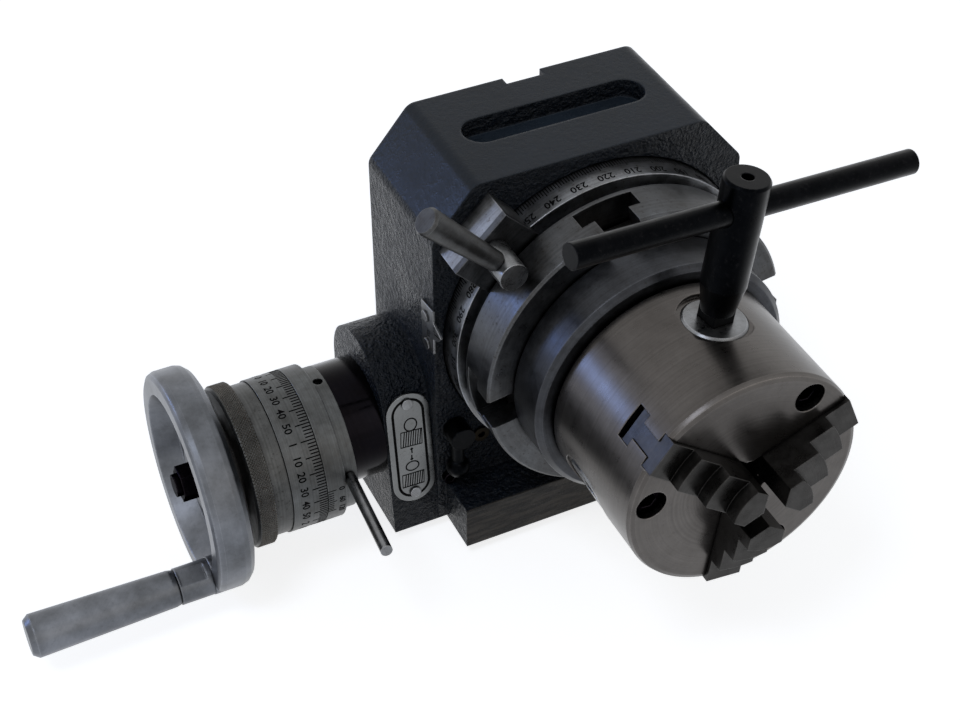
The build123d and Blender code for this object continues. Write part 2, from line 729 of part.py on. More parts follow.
def make_chuck_body():
    round_edge = 2.0
    body = turned_y([(0, chuck_face), (chuck_radius - round_edge, chuck_face),
                     (chuck_radius - 0.6, chuck_face + 0.6), (chuck_radius, chuck_face + round_edge),
                     (chuck_radius, chuck_back - 1.4), (chuck_radius - 0.8, chuck_back - 0.2),
                     (0, chuck_back - 0.2)])
    body -= cyl_y(chuck_bore_radius, chuck_face - 1, chuck_back + 1)
    cavity = cyl_y(cavity_radius, cavity_front, chuck_back + 1)
    body -= cavity - cyl_y(hub_radius, cavity_front - 1, cover_front)
    for k in range(3):
        slot = jaw_guide(0, chuck_radius + 3, chuck_face - 1, chuck_face + jaw_slot_depth, 0)
        body -= spoke(slot, jaw_angle + 120 * k)
        bore = cyl_x(pinion_radius + running, cavity_radius - 1, chuck_radius + 2, pinion_y, 0)
        bore += cyl_x(12.0, chuck_radius - 1.4, chuck_radius + 2, pinion_y, 0)
        body -= spoke(bore, pinion_angle + 120 * k)
        screw = cyl_y(3.2, chuck_face - 1, chuck_back + 1, mount_screw_circle)
        screw += cyl_y(5.2, chuck_face - 1, chuck_face + 8.5, mount_screw_circle)
        body -= spoke(screw, mount_screw_angle + 120 * k)
        body -= spoke(cyl_y(1.5, pinion_y, chuck_back + 1, pin_reach, pin_offset), pinion_angle + 120 * k)
        body -= spoke(cyl_y(1.25, cover_front - 8, cover_front + 1, 12.0), mount_screw_angle + 120 * k)
    return body


def make_chuck_cover():
    cover = cyl_y(cavity_radius - 0.05, cover_front, chuck_back - 4.2)
    cover -= cyl_y(chuck_bore_radius, cover_front - 1, chuck_back)
    for k in range(3):
        cover -= spoke(cyl_y(1.6, cover_front - 1, chuck_back, 12.0), mount_screw_angle + 120 * k)
        cover -= spoke(cyl_y(3.0, chuck_back - 6.6, chuck_back, 12.0), mount_screw_angle + 120 * k)
    return cover


def make_cover_screws():
    screw = Pos(12.0, chuck_back - 4.3, 0) * Rot(0, 0, 180) * socket_screw(2.8, 2.2, 1.2, 9.0)
    return [spoke(screw, mount_screw_angle + 120 * k) for k in range(3)]


def make_mount_screws():
    screw = Pos(mount_screw_circle, chuck_face + 2.5, 0) * socket_screw(5.0, 6.0, 2.95, chuck_length)
    return [spoke(screw, mount_screw_angle + 120 * k) for k in range(3)]


def make_pinion_pins():
    pin = cyl_y(1.45, pinion_y + 0.3, chuck_back - 0.4, pin_reach, pin_offset)
    return [spoke(pin, pinion_angle + 120 * k) for k in range(3)]


def gear_module(radius):
    return 2 * radius / crown_teeth


def crown_tooth(radius):
    # outline (y, z) of one crown tooth at this distance from the chuck axis
    m = gear_module(radius)
    pitch = pi * m
    pitch_y = pinion_y - radius * pinion_teeth / crown_teeth
    return [(pitch_y - 1.3 * m, -0.31 * pitch), (pitch_y + 0.8 * m, -0.12 * pitch),
            (pitch_y + 0.8 * m, 0.12 * pitch), (pitch_y - 1.3 * m, 0.31 * pitch)]


def crown_root(radius):
    return pinion_y - radius * pinion_teeth / crown_teeth - 1.05 * gear_module(radius)


def make_scroll():
    thread_tip = cavity_front + 0.15
    root = chuck_face + jaw_slot_depth + 0.05
    outer = cavity_radius - 0.15
    plate = turned_y([(hub_radius + running, root), (outer, root),
                      (outer, crown_root(outer)), (gear_inner, crown_root(gear_inner)),
                      (gear_inner, pinion_y - 3.6), (hub_radius + running, pinion_y - 3.6)])
    tooth = frustum(crown_tooth(gear_inner), crown_tooth(gear_outer), gear_inner, gear_outer)
    step = 360 / crown_teeth
    teeth = [spoke(tooth, pinion_angle + step * (k + 0.5)) for k in range(crown_teeth)]
    plate = plate + teeth
    return plate + scroll_thread_solid(thread_tip, root)


def scroll_radius(angle):
    # centre line of the groove, growing by one pitch a turn
    return scroll_start + scroll_pitch * angle / 360


def scroll_thread_solid(front, back):
    inner = []
    outer = []
    middle = scroll_pitch / 2
    first = 360 * (hub_radius + scroll_thread / 2 + 0.2 - scroll_start - middle) / scroll_pitch
    last = 360 * (cavity_radius - 2.2 - scroll_start - middle) / scroll_pitch
    count = int((last - first) / 9)
    for k in range(count + 1):
        angle = first + (last - first) * k / count
        radius = scroll_radius(angle) + middle
        a = radians(angle)
        inner.append(((radius - scroll_thread / 2) * cos(a), (radius - scroll_thread / 2) * sin(a)))
        outer.append(((radius + scroll_thread / 2) * cos(a), (radius + scroll_thread / 2) * sin(a)))
    points = inner + outer[::-1]
    return prism_y(points, front, back + 0.3)


def make_jaw(number):
    angle = jaw_angle + 120 * number
    rear = cavity_front - 0.05
    front = chuck_face - jaw_low
    jaw = jaw_guide(jaw_tip, jaw_outer, front, rear, sliding)
    wide = jaw_front_half - sliding
    # the step risers are rounded about the chuck axis
    start = jaw_tip
    for reach, height in jaw_steps:
        end = jaw_tip + reach
        step = block(start, end, chuck_face - height, front + 0.1, -wide, wide)
        jaw += step & cyl_y(end, chuck_face - height - 1, front + 1)
        start = end - 2.5
    # the nose is cut to a point so that three jaws close together
    back = jaw_tip + 16.0
    half = 16.0 * sqrt(3)
    wedge = [(jaw_tip, 0), (back, -half), (chuck_radius + 1, -half), (chuck_radius + 1, half), (back, half)]
    jaw = jaw & prism_y(wedge, chuck_face - 20, cavity_front + 6)
    first = scroll_radius(angle % 360)
    while first < jaw_tip + 3.6:
        first += scroll_pitch
    while first > jaw_tip + 3.6 + scroll_pitch:
        first -= scroll_pitch
    position = first
    while position < jaw_outer - 1.5:
        points = [(position - 1.2, 0), (position - 1.35, -4), (position + 0.7, -4),
                  (position + 1.15, 0), (position + 0.7, 4), (position - 1.35, 4)]
        jaw += prism_y(points, rear - 0.2, chuck_face + jaw_slot_depth - 0.15)
        position += scroll_pitch
    return spoke(jaw, angle)


def pinion_tooth(radius):
    m = gear_module(radius)
    pitch = pi * m
    pitch_radius = radius * pinion_teeth / crown_teeth
    return [(-(pitch_radius - 1.3 * m), -0.31 * pitch), (-(pitch_radius + 0.8 * m), -0.12 * pitch),
            (-(pitch_radius + 0.8 * m), 0.12 * pitch), (-(pitch_radius - 1.3 * m), 0.31 * pitch)]


def make_pinion(number):
    root_in = gear_inner * pinion_teeth / crown_teeth - gear_module(gear_inner)
    root_out = gear_outer * pinion_teeth / crown_teeth - gear_module(gear_outer)
    body = revolve(outline([(gear_inner, 0), (gear_inner, root_in), (gear_outer, root_out),
                            (cavity_radius + 0.5, root_out), (cavity_radius + 0.5, pinion_radius),
                            (pin_reach - 1.9, pinion_radius), (pin_reach - 1.9, 8.4),
                            (pin_reach + 1.9, 8.4), (pin_reach + 1.9, pinion_radius),
                            (chuck_radius - 1.5, pinion_radius), (chuck_radius - 0.8, pinion_radius - 0.7),
                            (chuck_radius - 0.8, 0)]), Axis.X)
    tooth = frustum(pinion_tooth(gear_inner), pinion_tooth(gear_outer), gear_inner, gear_outer)
    body = body + [Rot(360 / pinion_teeth * k, 0, 0) * tooth for k in range(pinion_teeth)]
    square = square_key / 2
    turn = key_turn if number == 0 else 0
    socket = block(chuck_radius - socket_depth, chuck_radius + 1, -square, square, -square, square)
    body -= Rot(turn, 0, 0) * socket
    return spoke(Pos(0, pinion_y, 0) * body, pinion_angle + 120 * number)


def make_key():
    square = square_key / 2 - sliding
    radius = key_body_radius
    key = revolve(outline([(key_shoulder, 0), (key_shoulder, radius - 1.9), (key_body, radius),
                           (key_end - 0.8, radius), (key_end, radius - 0.6), (key_end, 0)]), Axis.X)
    key += block(chuck_radius - socket_depth + 1, key_shoulder + 1, -square, square, -square, square)
    key -= cyl_z(key_bar_radius + sliding, -10, 10, key_bar_reach, 0)
    key -= cyl_x(2.0, key_end - 6, key_end + 1, 0, 0)
    return place_key(key)


def place_key(shape):
    # the key is drawn along +X; its bar along Z turned a little about the key
    return spoke(Pos(0, pinion_y, 0) * Rot(key_turn, 0, 0) * shape, pinion_angle)


def make_key_bar():
    return place_key(cyl_z(key_bar_radius, key_bar_low, key_bar_high, key_bar_reach, 0))


def make_strap(angle):
    toe = prism_y([(strap_inner, -strap_half), (ring_radius + 1.5, -strap_half),
                   (ring_radius + 1.5, strap_half), (strap_inner, strap_half)], strap_front, ring_front)
    heel = block(ring_radius + 1.4, strap_outer, strap_front, body_front, -strap_half, strap_half)
    strap = toe + heel
    strap -= cyl_y(clamp_screw_radius + free, strap_front - 1, body_front + 1, clamp_distance)
    return spoke(strap, angle)


def make_clamp_screw(angle, lever):
    screw = cyl_y(clamp_screw_radius - 0.02, strap_front - 0.5, clamp_hole_end - 1.0, clamp_distance)
    screw += cyl_y(clamp_head_radius, strap_front - 14.0, strap_front, clamp_distance)
    hole = on_clamp_screw(cyl_x(lever_hole_radius, -clamp_head_radius - 1, clamp_head_radius + 1), lever)
    return spoke(screw - hole, angle)


def on_clamp_screw(shape, turn):
    return Pos(clamp_distance, strap_front - 8.0, 0) * Rot(0, -turn, 0) * shape


def make_clamp_lever(angle, turn):
    spigot = lever_hole_radius - 0.01
    shoulder = clamp_head_radius + 0.05
    length = clamp_lever_length
    lever = revolve(outline([(-4.6, 0), (-4.6, spigot), (shoulder, spigot), (shoulder, 3.3),
                             (length - 1.0, 4.6), (length, 4.0), (length, 0)]), Axis.X)
    return spoke(on_clamp_screw(lever, turn), angle)


def lock_seat():
    # front of the sleeve's surface, level with the lock screw
    return sleeve_y - sqrt(sleeve_radius ** 2 - (sleeve_z - lock_z) ** 2)


def make_lock_screw():
    screw = cyl_y(lock_hub_radius, body_front - 7.5, body_front - 0.2, lock_x, lock_z)
    screw += cyl_y(lock_shank_radius, body_front - 0.3, lock_seat() - 1.6, lock_x, lock_z)
    return screw - cyl_z(1.5, lock_z - 6, lock_z - 0.8, lock_lever_x, lock_lever_y)


def make_lock_lever():
    # a ball-ended lever whose thin end is screwed into the lock screw's head
    lever = cyl_z(2.2, lock_ball_z, lock_z, lock_lever_x, lock_lever_y)
    lever += Pos(lock_lever_x, lock_lever_y, lock_ball_z) * Sphere(lock_ball_radius)
    lever -= cyl_y(lock_hub_radius + 0.02, body_front - 10, body_front, lock_x, lock_z)
    return lever + cyl_z(1.48, lock_z - 6, lock_z - 1, lock_lever_x, lock_lever_y)


def make_lock_pad():
    pad = cyl_y(lock_shank_radius - 0.1, lock_seat() - 1.5, lock_seat() + 3, lock_x, lock_z)
    return pad - cyl_x(sleeve_radius + 0.02, lock_x - 8, lock_x + 8, sleeve_y, sleeve_z)


def make_oiler():
    # a pressed-in cup whose mouth holds a ball from behind
    cup = cyl_y(oiler_radius - 0.02, body_front - 1.0, body_front + 5.5, oiler_x, oiler_z)
    cup -= cyl_y(1.3, body_front - 1.5, body_front + 0.5, oiler_x, oiler_z)
    cup -= cyl_y(1.75, body_front + 0.4, body_front + 6, oiler_x, oiler_z)
    ball = Pos(oiler_x, body_front + 1.4, oiler_z) * Sphere(1.6)
    return [cup, ball]


def make_keeper_screw():
    # its tip runs in the sleeve's groove and keeps the sleeve endways
    screw = socket_screw(keeper_head_radius, keeper_head, keeper_radius, sleeve_y - body_front)
    return Pos(keeper_x, body_front - keeper_head, keeper_z) * screw


def make_plug():
    plug = cyl_x(plug_radius - 0.02, plug_start, plug_start + plug_length, sleeve_y, sleeve_z)
    face = Plane(origin=(right_side, sleeve_y, sleeve_z), x_dir=(0, 1, 0), z_dir=(1, 0, 0))
    return plug - extrude(face * RegularPolygon(5.0, 6), -plug_socket_depth - 0.5)


def make_adjusting_nuts():
    nuts = []
    for k in range(2):
        x1 = housing_face - 2.8 - (adjusting_nut_width + 0.1) * k
        x0 = x1 - adjusting_nut_width
        nut = cyl_x(10.8, x0, x1, worm_y, worm_z)
        nut -= cyl_x(shaft_radius + 0.02, x0 - 1, x1 + 1, worm_y, worm_z)
        for angle in (0, 90, 180, 270):
            slot = Rot(angle, 0, 0) * block(x0 - 1, x1 + 1, -1.5, 1.5, 8.8, 12)
            nut -= Pos(0, worm_y, worm_z) * slot
        nuts.append(nut)
    return nuts


def make_ring_screws():
    screws = []
    for angle in ring_screw_angles:
        y, z = around_worm(ring_screw_circle, angle)
        screw = cyl_x(2.6, lever_ring_end - 1.8, lever_ring_end, y, z)
        screw += cyl_x(1.55, lever_ring_end, flange_end + 8, y, z)
        screws.append(screw)
    return screws


def casting_and_fittings():
    return {
        "body_casting": make_casting(),
        "rear_bearing_plate": make_rear_plate(),
        "rear_plate_screws": make_rear_screws(),
        "index_plate": make_index_plate(),
        "index_plate_rivets": make_index_rivets(),
        "instruction_plate": make_instruction_plate(),
        "instruction_plate_rivets": make_plate_rivets(),
        "ball_oiler": make_oiler(),
        "sleeve_keeper_screw": make_keeper_screw(),
        "worm_bore_plug": make_plug(),
        "lock_pad": make_lock_pad(),
        "worm_lock_screw": make_lock_screw(),
        "worm_lock_lever": make_lock_lever(),
    }


def table_parts():
    return {
        "rotary_table": make_table(),
        "worm_wheel": make_worm_wheel(),
        "worm_wheel_screws": make_wheel_screws(),
        "spindle_washer": make_spindle_washer(),
        "spindle_nut": make_spindle_nut(),
        "adapter_plate": make_adapter(),
        "adapter_t_nuts": make_t_nuts(),
        "adapter_bolts": make_t_bolts(),
        "chuck_body": make_chuck_body(),
        "chuck_back_cover": make_chuck_cover(),
        "chuck_cover_screws": make_cover_screws(),
        "chuck_mounting_screws": make_mount_screws(),
        "pinion_retaining_pins": make_pinion_pins(),
        "scroll_plate": make_scroll(),
        "jaw_1": make_jaw(0),
        "jaw_2": make_jaw(1),
        "jaw_3": make_jaw(2),
        "pinion_1": make_pinion(0),
        "pinion_2": make_pinion(1),
        "pinion_3": make_pinion(2),
        "chuck_key": make_key(),
        "chuck_key_bar": make_key_bar(),
    }


def clamp_parts():
    parts = {}
    for name, angle, turn in zip(("upper", "lower"), clamp_angles, clamp_turns):
        parts["clamp_strap_" + name] = make_strap(angle)
        parts["clamp_screw_" + name] = make_clamp_screw(angle, turn)
        parts["clamp_lever_" + name] = make_clamp_lever(angle, turn)
    return parts


def drive_parts():
    return {
        "eccentric_sleeve": make_sleeve(),
        "worm_bush_outer": make_bush(housing_face - 2, collar_start - free),
        "worm_bush_inner": make_bush(chamber_half + 0.5, sleeve_end),
        "engagement_ring": make_lever_ring(),
        "engagement_ring_screws": make_ring_screws(),
        "engagement_pin": make_lever_pin(),
        "vernier_ring": make_vernier(),
        "worm_shaft": make_worm_shaft(),
        "worm_adjusting_nuts": make_adjusting_nuts(),
        "dial_hub_key": make_shaft_key(dial_key_span),
        "dial_hub": make_dial_hub(),
        "graduated_dial": make_dial(),
        "dial_lock_ring": make_lock_ring(),
        "handwheel": make_handwheel(),
        "handwheel_key": make_shaft_key(handwheel_key_span),
        "handwheel_nut": make_wheel_nut(),
        "crank_stud": make_crank_stud(),
        "crank_grip": make_crank_grip(),
    }


def write(name, shape):
    pieces = shape if isinstance(shape, list) else [shape]
    placed = [Pos(0, 0, centre_height) * piece for piece in pieces]
    solids = [solid for piece in placed for solid in piece.solids()]
    result = solids[0] if len(solids) == 1 else Compound(solids)
    export_step(result, "parts/" + name + ".step")
    print(name, len(solids))


os.makedirs("parts", exist_ok=True)
for group in (casting_and_fittings(), table_parts(), clamp_parts(), drive_parts()):
    for name, shape in group.items():
        write(name, shape)
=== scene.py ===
import bmesh
import bpy
import json
from math import cos, pi, radians, sin
from mathutils import Matrix, Vector


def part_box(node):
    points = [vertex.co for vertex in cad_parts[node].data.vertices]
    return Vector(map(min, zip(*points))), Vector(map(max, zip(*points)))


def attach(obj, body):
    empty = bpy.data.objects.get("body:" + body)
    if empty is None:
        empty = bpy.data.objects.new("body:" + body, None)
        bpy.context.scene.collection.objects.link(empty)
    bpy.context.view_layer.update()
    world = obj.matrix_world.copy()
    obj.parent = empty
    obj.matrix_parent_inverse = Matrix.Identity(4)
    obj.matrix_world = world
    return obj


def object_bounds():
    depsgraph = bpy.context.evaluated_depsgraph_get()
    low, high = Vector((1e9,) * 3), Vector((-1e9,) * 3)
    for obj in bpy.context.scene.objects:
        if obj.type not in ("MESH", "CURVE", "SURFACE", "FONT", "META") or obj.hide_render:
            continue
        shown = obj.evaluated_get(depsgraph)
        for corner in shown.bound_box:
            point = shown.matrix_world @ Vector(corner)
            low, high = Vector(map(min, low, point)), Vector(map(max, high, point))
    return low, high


# Dressing for the rotary table: finishes, scales, knurling, plate drawing, camera and light
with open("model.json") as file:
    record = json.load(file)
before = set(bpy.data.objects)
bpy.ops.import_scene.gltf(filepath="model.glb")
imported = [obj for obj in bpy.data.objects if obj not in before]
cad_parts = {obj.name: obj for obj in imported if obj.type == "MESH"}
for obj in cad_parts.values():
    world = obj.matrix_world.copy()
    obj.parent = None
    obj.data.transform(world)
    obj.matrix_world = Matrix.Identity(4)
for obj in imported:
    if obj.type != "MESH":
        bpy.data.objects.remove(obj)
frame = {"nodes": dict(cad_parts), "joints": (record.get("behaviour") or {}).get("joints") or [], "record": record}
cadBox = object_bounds()
nodes = frame["nodes"]
joints = {joint["name"]: joint for joint in frame["joints"]}
mm = 0.001
tableAxis = Vector(joints["table_spin"]["pos_m"])   # runs along Y
wormAxis = Vector(joints["worm_spin"]["pos_m"])     # runs along X
print("frame loaded:", len(nodes), "nodes")


def toLinear(hexColour):
    channels = [int(hexColour[k:k + 2], 16) / 255 for k in (1, 3, 5)]
    linear = [c / 12.92 if c <= 0.04045 else ((c + 0.055) / 1.055) ** 2.4 for c in channels]
    return (*linear, 1.0)


def addNode(tree, kind, inputs=None, **settings):
    # inputs go by a socket's name or number: a colour Mix has its factor at 0 and its colours at 6
    # and 7, a plain Mix has its values at 2 and 3
    node = tree.nodes.new(kind)
    for name, value in settings.items():
        setattr(node, name, value)
    for socket, value in (inputs or {}).items():
        target = node.inputs[socket]
        if isinstance(value, bpy.types.NodeSocket):
            tree.links.new(value, target)
        else:
            target.default_value = value
    return node


def newMaterial(name):
    material = bpy.data.materials.new(name)
    material.use_nodes = True
    tree = material.node_tree
    tree.nodes.clear()
    shader = addNode(tree, "ShaderNodeBsdfPrincipled")
    addNode(tree, "ShaderNodeOutputMaterial", {"Surface": shader.outputs[0]})
    return material, tree, shader


# Cast iron under machine enamel. The paint is thick and glossy and puckers over the sandy skin of
# the sides, where the pucker peaks are painted paler as a painted sheen. The top and shoulders are
# scraped smooth, clouded and slightly paler, with the floor of the pocket paler still. Small chips show
# black, edges are painted grey as rubbing and as painted highlight, and the front of the foot is bare
# iron streaked with oil. White surrounds the object, so the specular level is low.
castEnamel = {
    "paint": "#060e17", "peakSheen": "#161e28", "sheenFrom": 0.44, "sheenTo": 0.66,
    "roughness": 0.19, "duller": 0.22, "glossier": 0.05, "glazeFrom": 0.75, "glazeTo": 1.25,
    "specular": 0.15,
    "puckerMm": 2.3, "grainMm": 0.9, "grainShare": 0.35, "depthMm": 2.1, "bump": 1.0,
    "top": "#0c1823", "topBump": 0.07, "topHeight": 141 * mm, "shoulder": 112 * mm,
    "slopeFrom": 0.40, "slopeTo": 0.62,
    "patchMm": 24, "cloudFrom": 0.3, "cloudTo": 0.7, "cloudDark": 0.6, "cloudPale": 1.5,
    "pocketFloor": "#2b333b", "pocketFromMm": 0.8, "pocketToMm": 1.6, "levelSlope": 0.95,
    "chip": "#030507", "chipMm": 3.2, "chipFrom": 0.66, "chipTo": 0.72,
    # edge is the grey painted on the edges, as rubbing and as painted highlight
    "edge": "#454b52", "edgeMm": 1.2, "edgeWearAndSheen": 0.55,
    "bareIron": "#48423b", "bareStreak": "#14110f", "streakMm": 2.2, "streakStretch": (0.25, 1.0, 1.6),
    "streakFrom": 0.40, "streakTo": 0.62, "bareBump": 0.08, "footFront": -33.6 * mm, "footFade": 0.2 * mm}

# An edge shows where the rounded normal leaves the flat one: the cosine where an edge's rubbing and painted
# highlight start and end
edgeFrom, edgeTo = 0.985, 0.90


def makeCastEnamel():
    look = castEnamel
    material, tree, shader = newMaterial("cast iron, dark enamel")
    place = addNode(tree, "ShaderNodeTexCoord").outputs["Object"]
    spot = addNode(tree, "ShaderNodeSeparateXYZ", {"Vector": place}).outputs
    flat = addNode(tree, "ShaderNodeNewGeometry").outputs["Normal"]
    up = addNode(tree, "ShaderNodeSeparateXYZ", {"Vector": flat}).outputs["Z"]
    pucker = addNode(tree, "ShaderNodeTexNoise", {
        "Vector": place, "Scale": 1 / (look["puckerMm"] * mm), "Detail": 4.0, "Roughness": 0.66}).outputs[0]
    grain = addNode(tree, "ShaderNodeTexNoise", {
        "Vector": place, "Scale": 1 / (look["grainMm"] * mm), "Detail": 2.0}).outputs[0]
    patches = addNode(tree, "ShaderNodeTexNoise", {
        "Vector": place, "Scale": 1 / (look["patchMm"] * mm), "Detail": 4.0}).outputs[0]

    # where the smooth top and the bare front of the foot are
    upward = addNode(tree, "ShaderNodeMapRange", {
        "Value": up, "From Min": look["slopeFrom"], "From Max": look["slopeTo"]}).outputs[0]
    onTop = addNode(tree, "ShaderNodeMath", {0: spot["Z"], 1: look["shoulder"]},
                    operation="GREATER_THAN").outputs[0]
    smoothTop = addNode(tree, "ShaderNodeMath", {0: upward, 1: onTop}, operation="MULTIPLY").outputs[0]
    bareFront = addNode(tree, "ShaderNodeMapRange", {
        "Value": spot["Y"], "From Min": look["footFront"],
        "From Max": look["footFront"] - look["footFade"]}).outputs[0]

    # puckered skin, calmer on the top and on the bare iron
    strength = addNode(tree, "ShaderNodeMix", {0: smoothTop, 2: look["bump"], 3: look["topBump"]}).outputs[0]
    calm = addNode(tree, "ShaderNodeMix", {0: bareFront, 2: strength, 3: look["bareBump"]}).outputs[0]
    fine = addNode(tree, "ShaderNodeMath", {0: grain, 1: look["grainShare"]},
                   operation="MULTIPLY").outputs[0]
    height = addNode(tree, "ShaderNodeMath", {0: pucker, 1: fine}, operation="ADD").outputs[0]
    soft = addNode(tree, "ShaderNodeBevel", {"Radius": look["edgeMm"] * mm}, samples=4).outputs[0]
    bump = addNode(tree, "ShaderNodeBump", {
        "Height": height, "Strength": calm, "Distance": look["depthMm"] * mm, "Normal": soft}).outputs[0]

    # bare iron
    streaks = addNode(tree, "ShaderNodeMapping", {"Vector": place, "Scale": look["streakStretch"]}).outputs[0]
    grime = addNode(tree, "ShaderNodeTexNoise", {
        "Vector": streaks, "Scale": 1 / (look["streakMm"] * mm), "Detail": 5.0}).outputs[0]
    clean = addNode(tree, "ShaderNodeMapRange", {
        "Value": grime, "From Min": look["streakFrom"], "From Max": look["streakTo"]}).outputs[0]
    iron = addNode(tree, "ShaderNodeMix", {
        0: clean, 6: toLinear(look["bareStreak"]), 7: toLinear(look["bareIron"])},
        data_type="RGBA").outputs[2]

    # paint of the sides, with painted sheen on the pucker peaks, and of the top
    peakSheen = addNode(tree, "ShaderNodeMapRange", {
        "Value": pucker, "From Min": look["sheenFrom"], "From Max": look["sheenTo"]}).outputs[0]
    sides = addNode(tree, "ShaderNodeMix", {0: peakSheen, 6: toLinear(look["paint"]), 7: toLinear(look["peakSheen"])},
                    data_type="RGBA").outputs[2]
    sunk = addNode(tree, "ShaderNodeMapRange", {
        "Value": spot["Z"], "From Min": look["topHeight"] - look["pocketFromMm"] * mm,
        "From Max": look["topHeight"] - look["pocketToMm"] * mm}).outputs[0]
    level = addNode(tree, "ShaderNodeMath", {0: up, 1: look["levelSlope"]},
                    operation="GREATER_THAN").outputs[0]
    inPocket = addNode(tree, "ShaderNodeMath", {0: sunk, 1: level}, operation="MULTIPLY").outputs[0]
    slate = addNode(tree, "ShaderNodeMix", {
        0: inPocket, 6: toLinear(look["top"]), 7: toLinear(look["pocketFloor"])},
        data_type="RGBA").outputs[2]
    cloudy = addNode(tree, "ShaderNodeMapRange", {
        "Value": patches, "From Min": look["cloudFrom"], "From Max": look["cloudTo"],
        "To Min": look["cloudDark"], "To Max": look["cloudPale"]}).outputs[0]
    clouded = addNode(tree, "ShaderNodeVectorMath", {0: slate, "Scale": cloudy},
                      operation="SCALE").outputs[0]
    painted = addNode(tree, "ShaderNodeMix", {0: smoothTop, 6: sides, 7: clouded},
                      data_type="RGBA").outputs[2]

    # chips, and edges painted grey as rubbing and as painted highlight
    dents = addNode(tree, "ShaderNodeTexNoise", {
        "Vector": place, "Scale": 1 / (look["chipMm"] * mm), "Detail": 3.0, "Roughness": 0.75}).outputs[0]
    chips = addNode(tree, "ShaderNodeMapRange", {
        "Value": dents, "From Min": look["chipFrom"], "From Max": look["chipTo"]}).outputs[0]
    chipped = addNode(tree, "ShaderNodeMix", {0: chips, 6: painted, 7: toLinear(look["chip"])},
                      data_type="RGBA").outputs[2]
    turned = addNode(tree, "ShaderNodeVectorMath", {0: soft, 1: flat},
                     operation="DOT_PRODUCT").outputs["Value"]
    edgeRubAndSheen = addNode(tree, "ShaderNodeMapRange", {
        "Value": turned, "From Min": edgeFrom, "From Max": edgeTo, "To Max": look["edgeWearAndSheen"]}).outputs[0]
    rubbedAndSheen = addNode(tree, "ShaderNodeMath", {0: edgeRubAndSheen, 1: patches}, operation="MULTIPLY").outputs[0]
    withEdgeWearAndSheen = addNode(tree, "ShaderNodeMix", {0: rubbedAndSheen, 6: chipped, 7: toLinear(look["edge"])},
                    data_type="RGBA").outputs[2]
    colour = addNode(tree, "ShaderNodeMix", {0: bareFront, 6: withEdgeWearAndSheen, 7: iron}, data_type="RGBA").outputs[2]
    glaze = addNode(tree, "ShaderNodeMath", {0: pucker, 1: patches}, operation="ADD").outputs[0]
    rough = addNode(tree, "ShaderNodeMapRange", {
        "Value": glaze, "From Min": look["glazeFrom"], "From Max": look["glazeTo"],
        "To Min": look["roughness"] + look["duller"],
        "To Max": look["roughness"] - look["glossier"]}).outputs[0]
    tree.links.new(colour, shader.inputs["Base Color"])
    tree.links.new(rough, shader.inputs["Roughness"])
    tree.links.new(bump, shader.inputs["Normal"])
    shader.inputs["Specular IOR Level"].default_value = look["specular"]
    return material


# What all the metals share: oily smudges that cloud the shine, faint turning lines, small dark specks
# of rust, grime and painted shade in corners, and edges painted bright as rubbing and as painted highlight
wear = {"smudgeMm": 6.0, "smudge": 0.34, "shineFrom": 0.3, "shineTo": 0.7, "shinier": 0.27,
        "duller": 0.32, "lines": 0.13, "lineDepthMm": 0.05, "noiseLow": 0.25, "noiseHigh": 0.75,
        "stainFrom": 0.35, "stainTo": 0.75, "speckMm": 1.3, "speckFrom": 0.56, "speckTo": 0.70,
        # grime is the dark of grime and painted shade in corners, found by ambient occlusion out to its reach
        "grime": "#0b0a0a", "grimeShadeReachMm": 2.2, "grimeShadeFrom": 0.35, "grimeShadeTo": 0.80, "rubbedAndSheen": 1.9}

